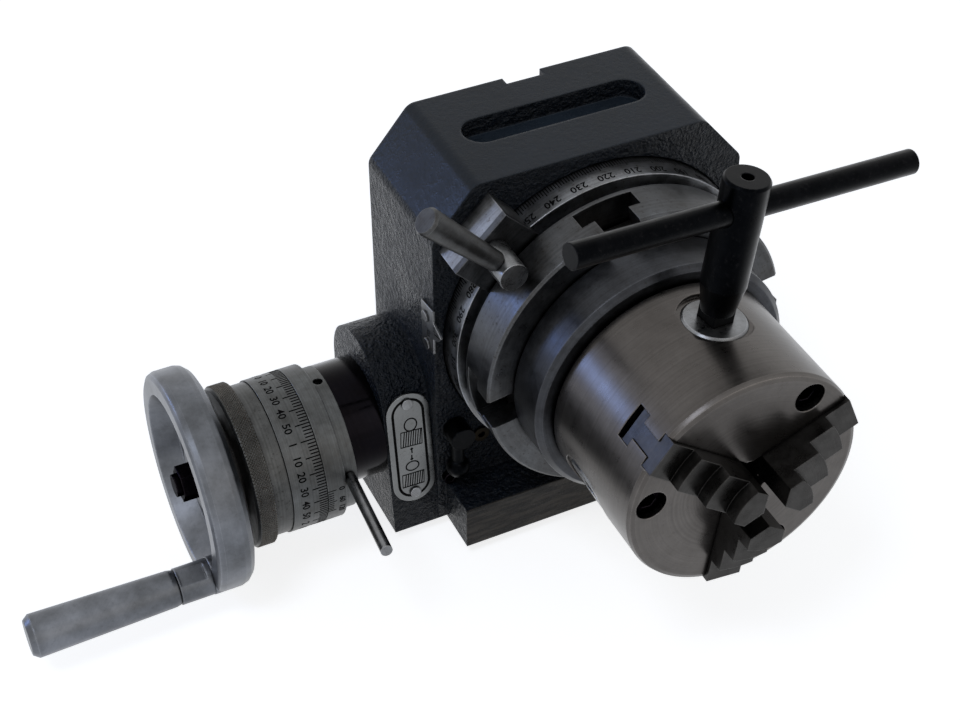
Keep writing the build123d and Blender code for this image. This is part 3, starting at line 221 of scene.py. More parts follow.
# Real turning lines are about 0.1 mm apart and wouldn't show, so lineMm draws most of them coarser.
# "axis" is the line that the piece was turned or brushed about.
metals = {
    # ground and oiled: dull grey with clouds and rust specks. The graduated ring behind the band's Y,
    # in millimetres, is made brighter than the disc in front of it.
    "ground steel": {
        "metal": "#4f5154", "stain": "#3a3938", "stainMm": 22, "speck": "#2a2521", "specks": 0.70,
        "roughness": 0.34, "axis": "y", "lineMm": 0.90, "bump": 0.12, "edgeMm": 0.5,
        "band": -27.4, "bandFadeMm": 0.3, "bandGain": 2.9},
    # turned and polished: a broad soft mirror, slightly warm, with few marks
    "turned chuck steel": {
        "metal": "#5a5755", "stain": "#494644", "stainMm": 30, "speck": "#45413e", "specks": 0.30,
        "roughness": 0.29, "axis": "y", "lineMm": 0.80, "bump": 0.10, "edgeMm": 0.6,
        "smudge": 0.12, "lines": 0.10},
    # turned and dark with oil
    "adapter steel": {
        "metal": "#3f4145", "stain": "#2c2c2e", "stainMm": 20, "speck": "#2f2d2c", "specks": 0.55,
        "roughness": 0.36, "axis": "y", "lineMm": 0.90, "bump": 0.12, "edgeMm": 0.6},
    # hardened and ground: grey-brown faces, with edges painted pale as rubbing and as painted highlight
    "hardened steel": {
        "metal": "#3b3a39", "stain": "#232221", "stainMm": 9, "speck": "#34302e", "specks": 0.5,
        "roughness": 0.30, "axis": "y", "lineMm": 0.35, "bump": 0.08, "edgeMm": 0.4},
    # small machined pieces: clean and bright
    "bright steel": {
        "metal": "#808285", "stain": "#686868", "stainMm": 8, "speck": "#4b4846", "specks": 0.35,
        "roughness": 0.30, "axis": "y", "lineMm": 0.30, "bump": 0.08, "edgeMm": 0.4},
    # satin plating: even, pale and cool, with hardly a line
    "satin chrome": {
        "metal": "#72757b", "stain": "#4b4d50", "stainMm": 18, "speck": "#4a4a4b", "specks": 0.28,
        "roughness": 0.34, "axis": "x", "lineMm": 0.70, "bump": 0.07, "edgeMm": 0.9,
        "smudge": 0.13, "lines": 0.03},
    # turned and matt, so that the black marks are easy to read
    "dial steel": {
        "metal": "#5a5c5d", "stain": "#3f3f3e", "stainMm": 14, "speck": "#474441", "specks": 0.50,
        "roughness": 0.40, "axis": "x", "lineMm": 0.60, "bump": 0.08, "edgeMm": 0.4},
    # turned, and darkened by the oil that the knurl next to it holds
    "oiled ring steel": {
        "metal": "#515252", "stain": "#3a3a39", "stainMm": 11, "speck": "#1f1a17", "specks": 0.65,
        "roughness": 0.38, "axis": "x", "lineMm": 0.60, "bump": 0.08, "edgeMm": 0.4},
    # rolled diamonds: pale tips over oil, rust and painted shade
    "oiled knurl steel": {
        "metal": "#5f5d59", "stain": "#3d3a36", "stainMm": 9, "speck": "#3b2418", "specks": 0.55,
        "roughness": 0.46, "axis": "x", "lineMm": 0.30, "bump": 0.08, "edgeMm": 0.2},
    # chemically blackened: brown-black, and dark also when seen at a low angle
    "black oxide": {
        "metal": "#0e0d11", "stain": "#1c181b", "stainMm": 12, "speck": "#3a3635", "specks": 0.25,
        "roughness": 0.22, "axis": "x", "lineMm": 0.35, "bump": 0.08, "edgeMm": 0.5,
        "grazing": "#606064"},
    # polished and blued: black with clear reflections
    "blued steel": {
        "metal": "#131216", "stain": "#0c0a0b", "stainMm": 12, "speck": "#231f1f", "specks": 0.15,
        "roughness": 0.17, "axis": "x", "lineMm": 0.6, "bump": 0.05, "edgeMm": 0.5},
    # blackened and handled: half matt
    "black key steel": {
        "metal": "#050608", "stain": "#0b0c0e", "stainMm": 14, "speck": "#2c2b2c", "specks": 0.22,
        "roughness": 0.33, "axis": "z", "lineMm": 0.5, "bump": 0.07, "edgeMm": 0.6},
    # turned and handled: dull grey
    "lever steel": {
        "metal": "#4b4c4d", "stain": "#363534", "stainMm": 8, "speck": "#36322f", "specks": 0.6,
        "roughness": 0.36, "axis": "y", "lineMm": 0.35, "bump": 0.10, "edgeMm": 0.5},
    # turned bronze: warm and pale
    "bearing bronze": {
        "metal": "#a9875a", "stain": "#7d6140", "stainMm": 10, "speck": "#4d3a26", "specks": 0.3,
        "roughness": 0.35, "axis": "x", "lineMm": 0.30, "bump": 0.06, "edgeMm": 0.3},
    # brushed sheet: light grey and even
    "plate aluminium": {
        "metal": "#787a7b", "stain": "#5e5f5f", "stainMm": 12, "speck": "#55534f", "specks": 0.35,
        "roughness": 0.30, "axis": "z", "lineMm": 0.25, "bump": 0.05, "edgeMm": 0.3},
    # machined grey iron: open grain, dull
    "grey iron": {
        "metal": "#5c5e60", "stain": "#43413f", "stainMm": 18, "speck": "#2d2b29", "specks": 0.5,
        "roughness": 0.50, "axis": "y", "lineMm": 0.45, "bump": 0.14, "edgeMm": 0.6},
    # pressed brass under old oil: brown-black
    "oiler brass": {
        "metal": "#1f1b14", "stain": "#120f0c", "stainMm": 5, "speck": "#0a0908", "specks": 0.6,
        "roughness": 0.40, "axis": "y", "lineMm": 0.15, "bump": 0.04, "edgeMm": 0.2},
}
turningAxes = {"x": (wormAxis, (1, 0, 0)), "y": (tableAxis, (0, 1, 0)), "z": (Vector((0, 0, 0)), (0, 0, 1))}


def makeMetal(name):
    look = metals[name]
    smudge = look.get("smudge", wear["smudge"])
    lines = look.get("lines", wear["lines"])
    material, tree, shader = newMaterial(name)
    place = addNode(tree, "ShaderNodeTexCoord").outputs["Object"]
    flat = addNode(tree, "ShaderNodeNewGeometry").outputs["Normal"]

    # lines run round the axis, and step with the distance from it and along it
    centre, along = turningAxes[look["axis"]]
    across = tuple(1 - value for value in along)
    local = addNode(tree, "ShaderNodeVectorMath", {0: place, 1: tuple(centre)},
                    operation="SUBTRACT").outputs[0]
    side = addNode(tree, "ShaderNodeVectorMath", {0: local, 1: across}, operation="MULTIPLY").outputs[0]
    radius = addNode(tree, "ShaderNodeVectorMath", {0: side}, operation="LENGTH").outputs["Value"]
    run = addNode(tree, "ShaderNodeVectorMath", {0: local, 1: along},
                  operation="DOT_PRODUCT").outputs["Value"]
    both = addNode(tree, "ShaderNodeMath", {0: radius, 1: run}, operation="ADD").outputs[0]
    rings = addNode(tree, "ShaderNodeTexNoise", {
        "W": both, "Scale": 1 / (look["lineMm"] * mm), "Detail": 2.0}, noise_dimensions="1D").outputs[0]

    # stains and rust specks
    clouds = addNode(tree, "ShaderNodeTexNoise", {
        "Vector": place, "Scale": 1 / (look["stainMm"] * mm), "Detail": 6.0, "Roughness": 0.66}).outputs[0]
    mask = addNode(tree, "ShaderNodeMapRange", {
        "Value": clouds, "From Min": wear["stainFrom"], "From Max": wear["stainTo"]}).outputs[0]
    tinted = addNode(tree, "ShaderNodeMix", {0: mask, 6: toLinear(look["metal"]), 7: toLinear(look["stain"])},
                     data_type="RGBA").outputs[2]
    dots = addNode(tree, "ShaderNodeTexNoise", {
        "Vector": place, "Scale": 1 / (wear["speckMm"] * mm), "Detail": 4.0, "Roughness": 0.7}).outputs[0]
    dirt = addNode(tree, "ShaderNodeMapRange", {
        "Value": dots, "From Min": wear["speckFrom"], "From Max": wear["speckTo"],
        "To Max": look["specks"]}).outputs[0]
    specked = addNode(tree, "ShaderNodeMix", {0: dirt, 6: tinted, 7: toLinear(look["speck"])},
                      data_type="RGBA").outputs[2]

    # smudges and lines make it lighter and darker; edges are painted lighter as rubbing and as painted highlight
    smudges = addNode(tree, "ShaderNodeTexNoise", {
        "Vector": place, "Scale": 1 / (wear["smudgeMm"] * mm), "Detail": 8.0, "Roughness": 0.72}).outputs[0]
    smudged = addNode(tree, "ShaderNodeMapRange", {
        "Value": smudges, "From Min": wear["noiseLow"], "From Max": wear["noiseHigh"],
        "To Min": 1 - smudge, "To Max": 1 + smudge}).outputs[0]
    lined = addNode(tree, "ShaderNodeMapRange", {
        "Value": rings, "From Min": wear["noiseLow"], "From Max": wear["noiseHigh"],
        "To Min": 1 - lines, "To Max": 1 + lines}).outputs[0]
    soft = addNode(tree, "ShaderNodeBevel", {"Radius": look["edgeMm"] * mm}, samples=4).outputs[0]
    turned = addNode(tree, "ShaderNodeVectorMath", {0: soft, 1: flat},
                     operation="DOT_PRODUCT").outputs["Value"]
    edgeRubAndSheen = addNode(tree, "ShaderNodeMapRange", {
        "Value": turned, "From Min": edgeFrom, "From Max": edgeTo, "To Min": 1.0,
        "To Max": wear["rubbedAndSheen"]}).outputs[0]
    shade = addNode(tree, "ShaderNodeMath", {0: smudged, 1: lined}, operation="MULTIPLY").outputs[0]
    shade = addNode(tree, "ShaderNodeMath", {0: shade, 1: edgeRubAndSheen}, operation="MULTIPLY").outputs[0]
    if "band" in look:
        ahead = addNode(tree, "ShaderNodeSeparateXYZ", {"Vector": place}).outputs["Y"]
        inBand = addNode(tree, "ShaderNodeMapRange", {
            "Value": ahead, "From Min": (look["band"] - look["bandFadeMm"]) * mm,
            "From Max": look["band"] * mm, "To Min": 1.0, "To Max": look["bandGain"]}).outputs[0]
        shade = addNode(tree, "ShaderNodeMath", {0: shade, 1: inBand}, operation="MULTIPLY").outputs[0]
    shaded = addNode(tree, "ShaderNodeVectorMath", {0: specked, "Scale": shade},
                     operation="SCALE").outputs[0]

    # grime and painted shade in the corners, from ambient occlusion
    cornerShade = addNode(tree, "ShaderNodeAmbientOcclusion", {"Distance": wear["grimeShadeReachMm"] * mm}, samples=6)
    clearOfShade = addNode(tree, "ShaderNodeMapRange", {
        "Value": cornerShade.outputs["AO"], "From Min": wear["grimeShadeFrom"],
        "From Max": wear["grimeShadeTo"]}).outputs[0]
    colour = addNode(tree, "ShaderNodeMix", {0: clearOfShade, 6: toLinear(wear["grime"]), 7: shaded},
                     data_type="RGBA").outputs[2]
    rough = addNode(tree, "ShaderNodeMapRange", {
        "Value": smudges, "From Min": wear["shineFrom"], "From Max": wear["shineTo"],
        "To Min": look["roughness"] - wear["shinier"] * smudge,
        "To Max": look["roughness"] + wear["duller"] * smudge}).outputs[0]
    bump = addNode(tree, "ShaderNodeBump", {
        "Height": rings, "Strength": look["bump"], "Distance": wear["lineDepthMm"] * mm,
        "Normal": soft}).outputs[0]
    tree.links.new(colour, shader.inputs["Base Color"])
    tree.links.new(rough, shader.inputs["Roughness"])
    tree.links.new(bump, shader.inputs["Normal"])
    shader.inputs["Metallic"].default_value = 1.0
    if "grazing" in look:
        shader.inputs["Specular Tint"].default_value = toLinear(look["grazing"])
    return material


# Marks are engraved and filled with black paint, so they are dull and a little uneven
markPaint = {"ink": "#080808", "thin": "#232221", "thinFrom": 0.45, "thinTo": 0.85, "patchMm": 1.5,
             "roughness": 0.75, "specular": 0.04}


def makeMarkPaint():
    look = markPaint
    material, tree, shader = newMaterial("black mark paint")
    place = addNode(tree, "ShaderNodeTexCoord").outputs["Object"]
    patches = addNode(tree, "ShaderNodeTexNoise", {
        "Vector": place, "Scale": 1 / (look["patchMm"] * mm), "Detail": 3.0}).outputs[0]
    mask = addNode(tree, "ShaderNodeMapRange", {
        "Value": patches, "From Min": look["thinFrom"], "From Max": look["thinTo"]}).outputs[0]
    colour = addNode(tree, "ShaderNodeMix", {0: mask, 6: toLinear(look["ink"]), 7: toLinear(look["thin"])},
                     data_type="RGBA").outputs[2]
    tree.links.new(colour, shader.inputs["Base Color"])
    shader.inputs["Roughness"].default_value = look["roughness"]
    shader.inputs["Specular IOR Level"].default_value = look["specular"]
    return material


finishes = {name: makeMetal(name) for name in metals}
finishes["cast enamel"] = makeCastEnamel()
finishes["mark paint"] = makeMarkPaint()

# The finish of each material slot, and the nodes that look different from the rest of their slot
slotFinish = {
    "casting_paint": "cast enamel", "ground_steel": "ground steel", "turned_steel": "turned chuck steel",
    "satin_chrome": "satin chrome", "hardened_steel": "hardened steel", "black_oxide": "black oxide",
    "lever_steel": "lever steel", "bearing_bronze": "bearing bronze",
    "plate_aluminium": "plate aluminium", "grey_iron": "grey iron", "oiler_brass": "oiler brass"}
nodesApart = {
    "dial steel": ["graduated_dial", "vernier_ring", "engagement_ring"],
    "oiled ring steel": ["dial_lock_ring"],
    "adapter steel": ["adapter_plate"],
    "black oxide": ["worm_shaft"],
    "blued steel": ["eccentric_sleeve"],
    "black key steel": ["chuck_key", "chuck_key_bar", "worm_lock_screw", "worm_lock_lever"],
    "bright steel": ["pinion_1", "pinion_2", "pinion_3", "clamp_screw_upper", "clamp_screw_lower",
                     "engagement_pin", "index_plate", "index_plate_rivets", "instruction_plate_rivets"]}


def dressNodes():
    finishOf = {entry["node"]: slotFinish[entry["material_slot"]] for entry in frame["record"]["subparts"]}
    for finish, names in nodesApart.items():
        finishOf.update({name: finish for name in names})
    for name, cadObject in nodes.items():
        cadObject.data.materials.clear()
        cadObject.data.materials.append(finishes[finishOf[name]])
    print("finishes on", len(nodes), "nodes")


dressNodes()


# Every mark lies this far over the metal. A ring's marks are made about their own Z axis first, then
# turned onto the table's axis, or onto the worm's with Z towards the handwheel (outer) or away (inner).
lift = 0.04 * mm
ringPlaces = {
    "table": Matrix(((1, 0, 0, tableAxis.x), (0, 0, -1, 0), (0, 1, 0, tableAxis.z), (0, 0, 0, 1))),
    "outer": Matrix(((0, 0, -1, 0), (0, 1, 0, wormAxis.y), (1, 0, 0, wormAxis.z), (0, 0, 0, 1))),
    "inner": Matrix(((0, 0, 1, 0), (1, 0, 0, wormAxis.y), (0, 1, 0, wormAxis.z), (0, 0, 0, 1)))}


def settle(name, mesh, finish, body):
    mesh.materials.clear()
    mesh.materials.append(finishes[finish])
    piece = bpy.data.objects.new(name, mesh)
    bpy.context.scene.collection.objects.link(piece)
    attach(piece, body)


def newTree(name, sockets):
    tree = bpy.data.node_groups.new(name, "GeometryNodeTree")
    tree.interface.new_socket(name="Geometry", in_out="OUTPUT", socket_type="NodeSocketGeometry")
    for label, kind in sockets.items():
        tree.interface.new_socket(name=label, in_out="INPUT", socket_type="NodeSocket" + kind)
    return tree, addNode(tree, "NodeGroupInput").outputs


def standOnRing(tree, given, angle, high, points, shape):
    # puts one shape at each point of a ring, facing away from its axis, and ends the tree
    cosine = addNode(tree, "ShaderNodeMath", {0: angle}, operation="COSINE").outputs[0]
    sine = addNode(tree, "ShaderNodeMath", {0: angle}, operation="SINE").outputs[0]
    east = addNode(tree, "ShaderNodeMath", {0: given["Radius"], 1: cosine},
                   operation="MULTIPLY").outputs[0]
    north = addNode(tree, "ShaderNodeMath", {0: given["Radius"], 1: sine},
                    operation="MULTIPLY").outputs[0]
    spot = addNode(tree, "ShaderNodeCombineXYZ", {0: east, 1: north, 2: high}).outputs[0]
    ring = addNode(tree, "GeometryNodePoints", {"Count": points, "Position": spot}).outputs[0]
    facing = addNode(tree, "ShaderNodeCombineXYZ", {2: angle}).outputs[0]
    turned = addNode(tree, "FunctionNodeEulerToRotation", {0: facing}).outputs[0]
    placed = addNode(tree, "GeometryNodeInstanceOnPoints", {
        "Points": ring, "Instance": shape["mesh"], "Rotation": turned, "Scale": shape["stretch"]}).outputs[0]
    real = addNode(tree, "GeometryNodeRealizeInstances", {"Geometry": placed}).outputs[0]
    painted = addNode(tree, "GeometryNodeSetMaterial", {
        "Geometry": real, "Material": given["Material"]}).outputs[0]
    addNode(tree, "NodeGroupOutput", {"Geometry": painted})
    return tree


def grow(tree, values):
    # runs a tree on an empty object and gives back a plain mesh
    seed = bpy.data.objects.new("seed", bpy.data.meshes.new("seed"))
    bpy.context.scene.collection.objects.link(seed)
    modifier = seed.modifiers.new("marks", "NODES")
    modifier.node_group = tree
    for item in tree.interface.items_tree:
        if item.in_out == "INPUT":
            modifier[item.identifier] = values[item.name]
    graph = bpy.context.evaluated_depsgraph_get()
    mesh = bpy.data.meshes.new_from_object(seed.evaluated_get(graph))
    seed.modifiers.remove(modifier)
    bpy.data.objects.remove(seed)
    return mesh


def makeTickTree():
    tree, given = newTree("ring of ticks", {
        "Ticks": "Int", "Places": "Float", "First": "Float", "Radius": "Float", "Start": "Float",
        "Width": "Float", "Depth": "Float", "Short": "Float", "Middle": "Float", "Long": "Float",
        "Middle Every": "Float", "Long Every": "Float", "Material": "Material"})
    index = addNode(tree, "GeometryNodeInputIndex").outputs[0]
    turns = addNode(tree, "ShaderNodeMath", {0: index, 1: 2 * pi}, operation="MULTIPLY").outputs[0]
    turn = addNode(tree, "ShaderNodeMath", {0: turns, 1: given["Places"]},
                   operation="DIVIDE").outputs[0]
    angle = addNode(tree, "ShaderNodeMath", {0: turn, 1: given["First"]}, operation="ADD").outputs[0]

    # each tick starts short, and gets longer where it is a middle or a long one
    length = given["Short"]
    for shorter, longer in (("Short", "Middle"), ("Middle", "Long")):
        place = addNode(tree, "ShaderNodeMath", {0: index, 1: given[longer + " Every"]},
                        operation="MODULO").outputs[0]
        isOne = addNode(tree, "ShaderNodeMath", {0: place, 1: 0.5}, operation="LESS_THAN").outputs[0]
        step = addNode(tree, "ShaderNodeMath", {0: given[longer], 1: given[shorter]},
                       operation="SUBTRACT").outputs[0]
        extra = addNode(tree, "ShaderNodeMath", {0: isOne, 1: step}, operation="MULTIPLY").outputs[0]
        length = addNode(tree, "ShaderNodeMath", {0: length, 1: extra}, operation="ADD").outputs[0]
    size = addNode(tree, "ShaderNodeCombineXYZ", {0: given["Depth"], 1: given["Width"], 2: 1.0}).outputs[0]
    bar = addNode(tree, "GeometryNodeMeshCube", {"Size": size}).outputs[0]
    bar = addNode(tree, "GeometryNodeTransform", {"Geometry": bar, "Translation": (0, 0, 0.5)}).outputs[0]
    stretch = addNode(tree, "ShaderNodeCombineXYZ", {0: 1.0, 1: 1.0, 2: length}).outputs[0]
    return standOnRing(tree, given, angle, given["Start"], given["Ticks"], {"mesh": bar, "stretch": stretch})


def makeKnurlTree():
    tree, given = newTree("diamond knurl", {
        "Columns": "Int", "Rows": "Int", "Radius": "Float", "Start": "Float", "Row Pitch": "Float",
        "Diamond": "Float", "Height": "Float", "Material": "Material"})
    index = addNode(tree, "GeometryNodeInputIndex").outputs[0]
    inside = addNode(tree, "ShaderNodeMath", {0: index, 1: 0.5}, operation="ADD").outputs[0]
    rows = addNode(tree, "ShaderNodeMath", {0: inside, 1: given["Columns"]},
                   operation="DIVIDE").outputs[0]
    row = addNode(tree, "ShaderNodeMath", {0: rows}, operation="FLOOR").outputs[0]
    rise = addNode(tree, "ShaderNodeMath", {0: row, 1: given["Row Pitch"]},
                   operation="MULTIPLY").outputs[0]
    high = addNode(tree, "ShaderNodeMath", {0: given["Start"], 1: rise}, operation="ADD").outputs[0]

    # every second row is half a diamond further round
    odd = addNode(tree, "ShaderNodeMath", {0: row, 1: 2.0}, operation="MODULO").outputs[0]
    shift = addNode(tree, "ShaderNodeMath", {0: odd, 1: 0.5}, operation="MULTIPLY").outputs[0]
    place = addNode(tree, "ShaderNodeMath", {0: index, 1: given["Columns"]},
                    operation="MODULO").outputs[0]
    column = addNode(tree, "ShaderNodeMath", {0: place, 1: shift}, operation="ADD").outputs[0]
    turns = addNode(tree, "ShaderNodeMath", {0: column, 1: 2 * pi}, operation="MULTIPLY").outputs[0]
    angle = addNode(tree, "ShaderNodeMath", {0: turns, 1: given["Columns"]},
                    operation="DIVIDE").outputs[0]
    count = addNode(tree, "ShaderNodeMath", {0: given["Columns"], 1: given["Rows"]},
                    operation="MULTIPLY").outputs[0]
    point = addNode(tree, "GeometryNodeMeshCone", {
        "Vertices": 4, "Radius Top": 0.0, "Radius Bottom": given["Diamond"],
        "Depth": given["Height"]}).outputs[0]
    out = addNode(tree, "FunctionNodeEulerToRotation", {0: (0, pi / 2, 0)}).outputs[0]
    point = addNode(tree, "GeometryNodeTransform", {"Geometry": point, "Rotation": out}).outputs[0]
    return standOnRing(tree, given, angle, high, count, {"mesh": point, "stretch": (1, 1, 1)})


tickTree = makeTickTree()
knurlTree = makeKnurlTree()


def drawTicks(name, look, firstAngle, place, body):
    ticks = grow(tickTree, {
        "Ticks": look["ticks"], "Places": 360 / look["step"], "First": radians(firstAngle),
        "Radius": look["radius"], "Start": look["start"], "Width": look["width"], "Depth": 2 * lift,
        "Short": look["short"], "Middle": look["middle"], "Long": look["long"],
        "Middle Every": 5.0, "Long Every": look["longEvery"], "Material": finishes["mark paint"]})
    ticks.transform(ringPlaces[place])
    settle(name, ticks, "mark paint", body)


stamp = {"steps": 3, "heavier": 0.06 * mm}     # the numbers are stamped heavy


def drawNumbers(name, look, numbers, place, body):
    # numbers are pairs of a text and its angle, bent round the ring
    builder = bmesh.new()
    radius = look["radius"] + lift
    for text, angle in numbers:
        curve = bpy.data.curves.new("number", "FONT")
        curve.body = text
        curve.size = look["size"]
        curve.align_x = "CENTER"
        curve.align_y = "CENTER"
        curve.resolution_u = stamp["steps"]
        curve.offset = stamp["heavier"]
        holder = bpy.data.objects.new("number", curve)
        bpy.context.scene.collection.objects.link(holder)
        graph = bpy.context.evaluated_depsgraph_get()
        mesh = bpy.data.meshes.new_from_object(holder.evaluated_get(graph))
        bpy.data.objects.remove(holder)
        for vertex in mesh.vertices:
            around = radians(angle) + vertex.co.x / radius
            vertex.co = (radius * cos(around), radius * sin(around), look["numbersAt"] + vertex.co.y)
        builder.from_mesh(mesh)
        bpy.data.meshes.remove(mesh)
    whole = bpy.data.meshes.new(name)
    builder.to_mesh(whole)
    builder.free()
    whole.transform(ringPlaces[place])
    settle(name, whole, "mark paint", body)


# Degree scale of the table: a line for each degree and a number for every tenth
ringScale = {"radius": 55.7 * mm, "zeroAt": -128.3, "step": 1.0, "ticks": 360, "longEvery": 10.0,
             "start": 16.9 * mm, "short": 2.7 * mm, "middle": 3.1 * mm, "long": 3.6 * mm,
             "width": 0.30 * mm, "numbersAt": 23.9 * mm, "size": 3.9 * mm}


def makeRingScale():
    look = ringScale
    drawTicks("ring_ticks", look, look["zeroAt"], "table", "table")
    numbers = [(str(value), value + look["zeroAt"]) for value in range(0, 360, 10)]
    drawNumbers("ring_numbers", look, numbers, "table", "table")


makeRingScale()


# Minute scale of the dial: five degrees a turn, a line for every two minutes and a number for every
# ten. The drawn lines are a little wider than real ones, so that they show.
dialScale = {"radius": 27.3 * mm, "oneAt": 133.5, "step": 2.4, "ticks": 150, "longEvery": 5.0,
             "degrees": 5, "tens": 6, "start": 102.1 * mm, "short": 3.0 * mm, "middle": 5.0 * mm,
             "long": 5.0 * mm, "width": 0.42 * mm, "numbersAt": -110.0 * mm, "size": 3.8 * mm}


def makeDialScale():
    look = dialScale
    # the ticks count from +Z towards +Y, the numbers from +Y towards +Z
    drawTicks("dial_ticks", look, 90 - look["oneAt"], "outer", "dial")
    degreeTurn = 360 / look["degrees"]
    numbers = []
    for degree in range(look["degrees"]):
        for ten in range(look["tens"]):
            text = str(10 * ten) if ten else str(degree)
            angle = look["oneAt"] + degreeTurn * (degree - 1) + degreeTurn / look["tens"] * ten
            numbers.append((text, angle))
    drawNumbers("dial_numbers", look, numbers, "inner", "dial")


makeDialScale()


# Vernier beside the dial, read in seconds
vernierScale = {"radius": 27.4 * mm, "zeroAt": 176.0, "step": 2.2, "ticks": 11, "longEvery": 5.0,
                "start": -101.9 * mm, "short": 2.0 * mm, "middle": 3.0 * mm, "long": 3.0 * mm,
                "width": 0.30 * mm, "numbersAt": -97.0 * mm, "size": 2.9 * mm, "texts": ["0", "60", "120"]}


def makeVernierScale():
    look = vernierScale
    drawTicks("vernier_ticks", look, look["zeroAt"], "inner", "sleeve")
    numbers = [(text, look["zeroAt"] + look["step"] * look["longEvery"] * k)
               for k, text in enumerate(look["texts"])]
    drawNumbers("vernier_numbers", look, numbers, "inner", "sleeve")


makeVernierScale()
print("scales drawn")


# Diamond knurl round the lock ring, its diamonds sunk a little into the ring
knurl = {"radius": 28.5 * mm, "sunk": 0.12 * mm, "start": 120.95 * mm, "columns": 152, "rows": 10,
         "rowPitch": 0.56 * mm, "diamond": 0.60 * mm, "height": 0.5 * mm}


def makeKnurl():
    look = knurl
    mesh = grow(knurlTree, {
        "Columns": look["columns"], "Rows": look["rows"], "Radius": look["radius"] - look["sunk"],
        "Start": look["start"], "Row Pitch": look["rowPitch"], "Diamond": look["diamond"],
        "Height": look["height"], "Material": finishes["oiled knurl steel"]})
    mesh.transform(ringPlaces["outer"])
    settle("lock_ring_knurl", mesh, "oiled knurl steel", "lock_ring")


makeKnurl()
print("lock ring knurled")


def ribbon(builder, points, width, closed):
    # a flat line of even width along points, in the XY plane
    count = len(points)
    edge = []
    for k, point in enumerate(points):
        before = points[k - 1] if closed or k else point
        after = points[(k + 1) % count] if closed or k < count - 1 else point
        run = Vector((after[0] - before[0], after[1] - before[1])).normalized()
        side = Vector((-run.y, run.x)) * width / 2
        edge.append([builder.verts.new((point[0] + sign * side.x, point[1] + sign * side.y, 0))
                     for sign in (1, -1)])
    for k in range(count if closed else count - 1):
        a, b = edge[k], edge[(k + 1) % count]
        builder.faces.new((a[0], a[1], b[1], b[0]))


def settleDrawing(name, builder, place, outward):
    # a drawing made in millimetres goes to its place, with every face looking outward
    mesh = bpy.data.meshes.new(name)
    builder.to_mesh(mesh)
    builder.free()
    mesh.transform(place @ Matrix.Scale(mm, 4))
    for polygon in mesh.polygons:
        if polygon.normal.dot(outward) < 0:
            polygon.flip()
    settle(name, mesh, "mark paint", "casting")


# Drawing on the instruction plate, in millimetres across and up the plate: a border and a plain
# diagram of shafts and worms, as lines with a width
plateDrawing = {
    "leanDegrees": 7.17, "halfThick": 0.4 * mm, "halfWidth": 7.9, "halfLength": 22.8, "border": 2.3,
    "borderLine": 0.95, "borderSteps": 14, "thin": 0.50,
    "rings": [((0.6, 9.9), 2.3, 2.6), ((-0.1, -7.6), 2.4, 1.9)], "ringSteps": 24,
    "hatches": [((-3.2, 7.6), (4.6, 7.0), (4.2, 0.7), (-3.7, 1.3)),
                ((-4.1, -10.6), (4.0, -10.9), (3.6, -16.2), (-4.4, -15.9))],
    "hatchLines": 9, "hatchSlant": 0.06, "hatchLine": 0.40,
    "arrows": [((0.2, -2.2), (0.2, 0.0)), ((0.0, -2.9), (-0.1, -5.0))], "headWidth": 0.5, "headLength": 0.55}


def makePlateDrawing():
    look = plateDrawing
    builder = bmesh.new()
    straight = look["halfLength"] - look["halfWidth"]
    half = look["halfWidth"] - look["border"]
    steps = look["borderSteps"]
    arch = [(half * cos(pi * k / steps), straight + half * sin(pi * k / steps)) for k in range(steps + 1)]
    ribbon(builder, arch + [(-x, -y) for x, y in arch], look["borderLine"], True)
    for (x, y), wide, high in look["rings"]:
        angles = [2 * pi * k / look["ringSteps"] for k in range(look["ringSteps"])]
        loop = [(x + wide * cos(angle), y + high * sin(angle)) for angle in angles]
        ribbon(builder, loop, look["thin"], True)
    for corners in look["hatches"]:
        ribbon(builder, list(corners), look["thin"], True)
        topLeft, topRight, lowRight, lowLeft = (Vector(corner) for corner in corners)
        for k in range(1, look["hatchLines"]):
            share = k / look["hatchLines"]
            high = topLeft.lerp(topRight, min(1.0, share + look["hatchSlant"]))
            low = lowLeft.lerp(lowRight, share)
            ribbon(builder, [tuple(low), tuple(high)], look["hatchLine"], False)
    for start, tip in look["arrows"]:
        ribbon(builder, [start, tip], look["thin"], False)
        foot = tip[1] - look["headLength"] * (1 if tip[1] > start[1] else -1)
        wings = [(tip[0] - look["headWidth"], foot), tip, (tip[0] + look["headWidth"], foot)]
        ribbon(builder, wings, look["thin"], False)

    # the plate leans back with the front wall of the housing
    low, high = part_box("instruction_plate")
    lean = radians(look["leanDegrees"])
    outward = Vector((0, -cos(lean), sin(lean)))
    upward = Vector((0, sin(lean), cos(lean)))
    turn = Matrix((upward.cross(outward), upward, outward)).transposed().to_4x4()
    spot = (Vector(low) + Vector(high)) / 2 + outward * (look["halfThick"] + lift)
    settleDrawing("plate_drawing", builder, Matrix.Translation(spot) @ turn, outward)


makePlateDrawing()


# The zero line on the tip of the index plate, in millimetres along Y and Z
zeroLine = {"from": (-19.0, 87.8), "to": (-24.0, 89.4), "width": 0.4}


def makeZeroLine():
    look = zeroLine
    builder = bmesh.new()
    ribbon(builder, [look["from"], look["to"]], look["width"], False)
    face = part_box("index_plate")[0][0] - lift
    place = Matrix(((0, 0, 1, face), (1, 0, 0, 0), (0, 1, 0, 0), (0, 0, 0, 1)))
    settleDrawing("index_zero_line", builder, place, Vector((-1, 0, 0)))


makeZeroLine()
print("plate drawing and zero line drawn")


# The photo's viewpoint, found from the photo's own lines and circles
photoView = {"spot": (-0.24277, -0.43719, 0.47683), "yaw": 25.465, "pitch": 41.253, "roll": 0.209,
             "lens": 69.156, "sensor": 36.0, "near": 0.01, "far": 20.0}


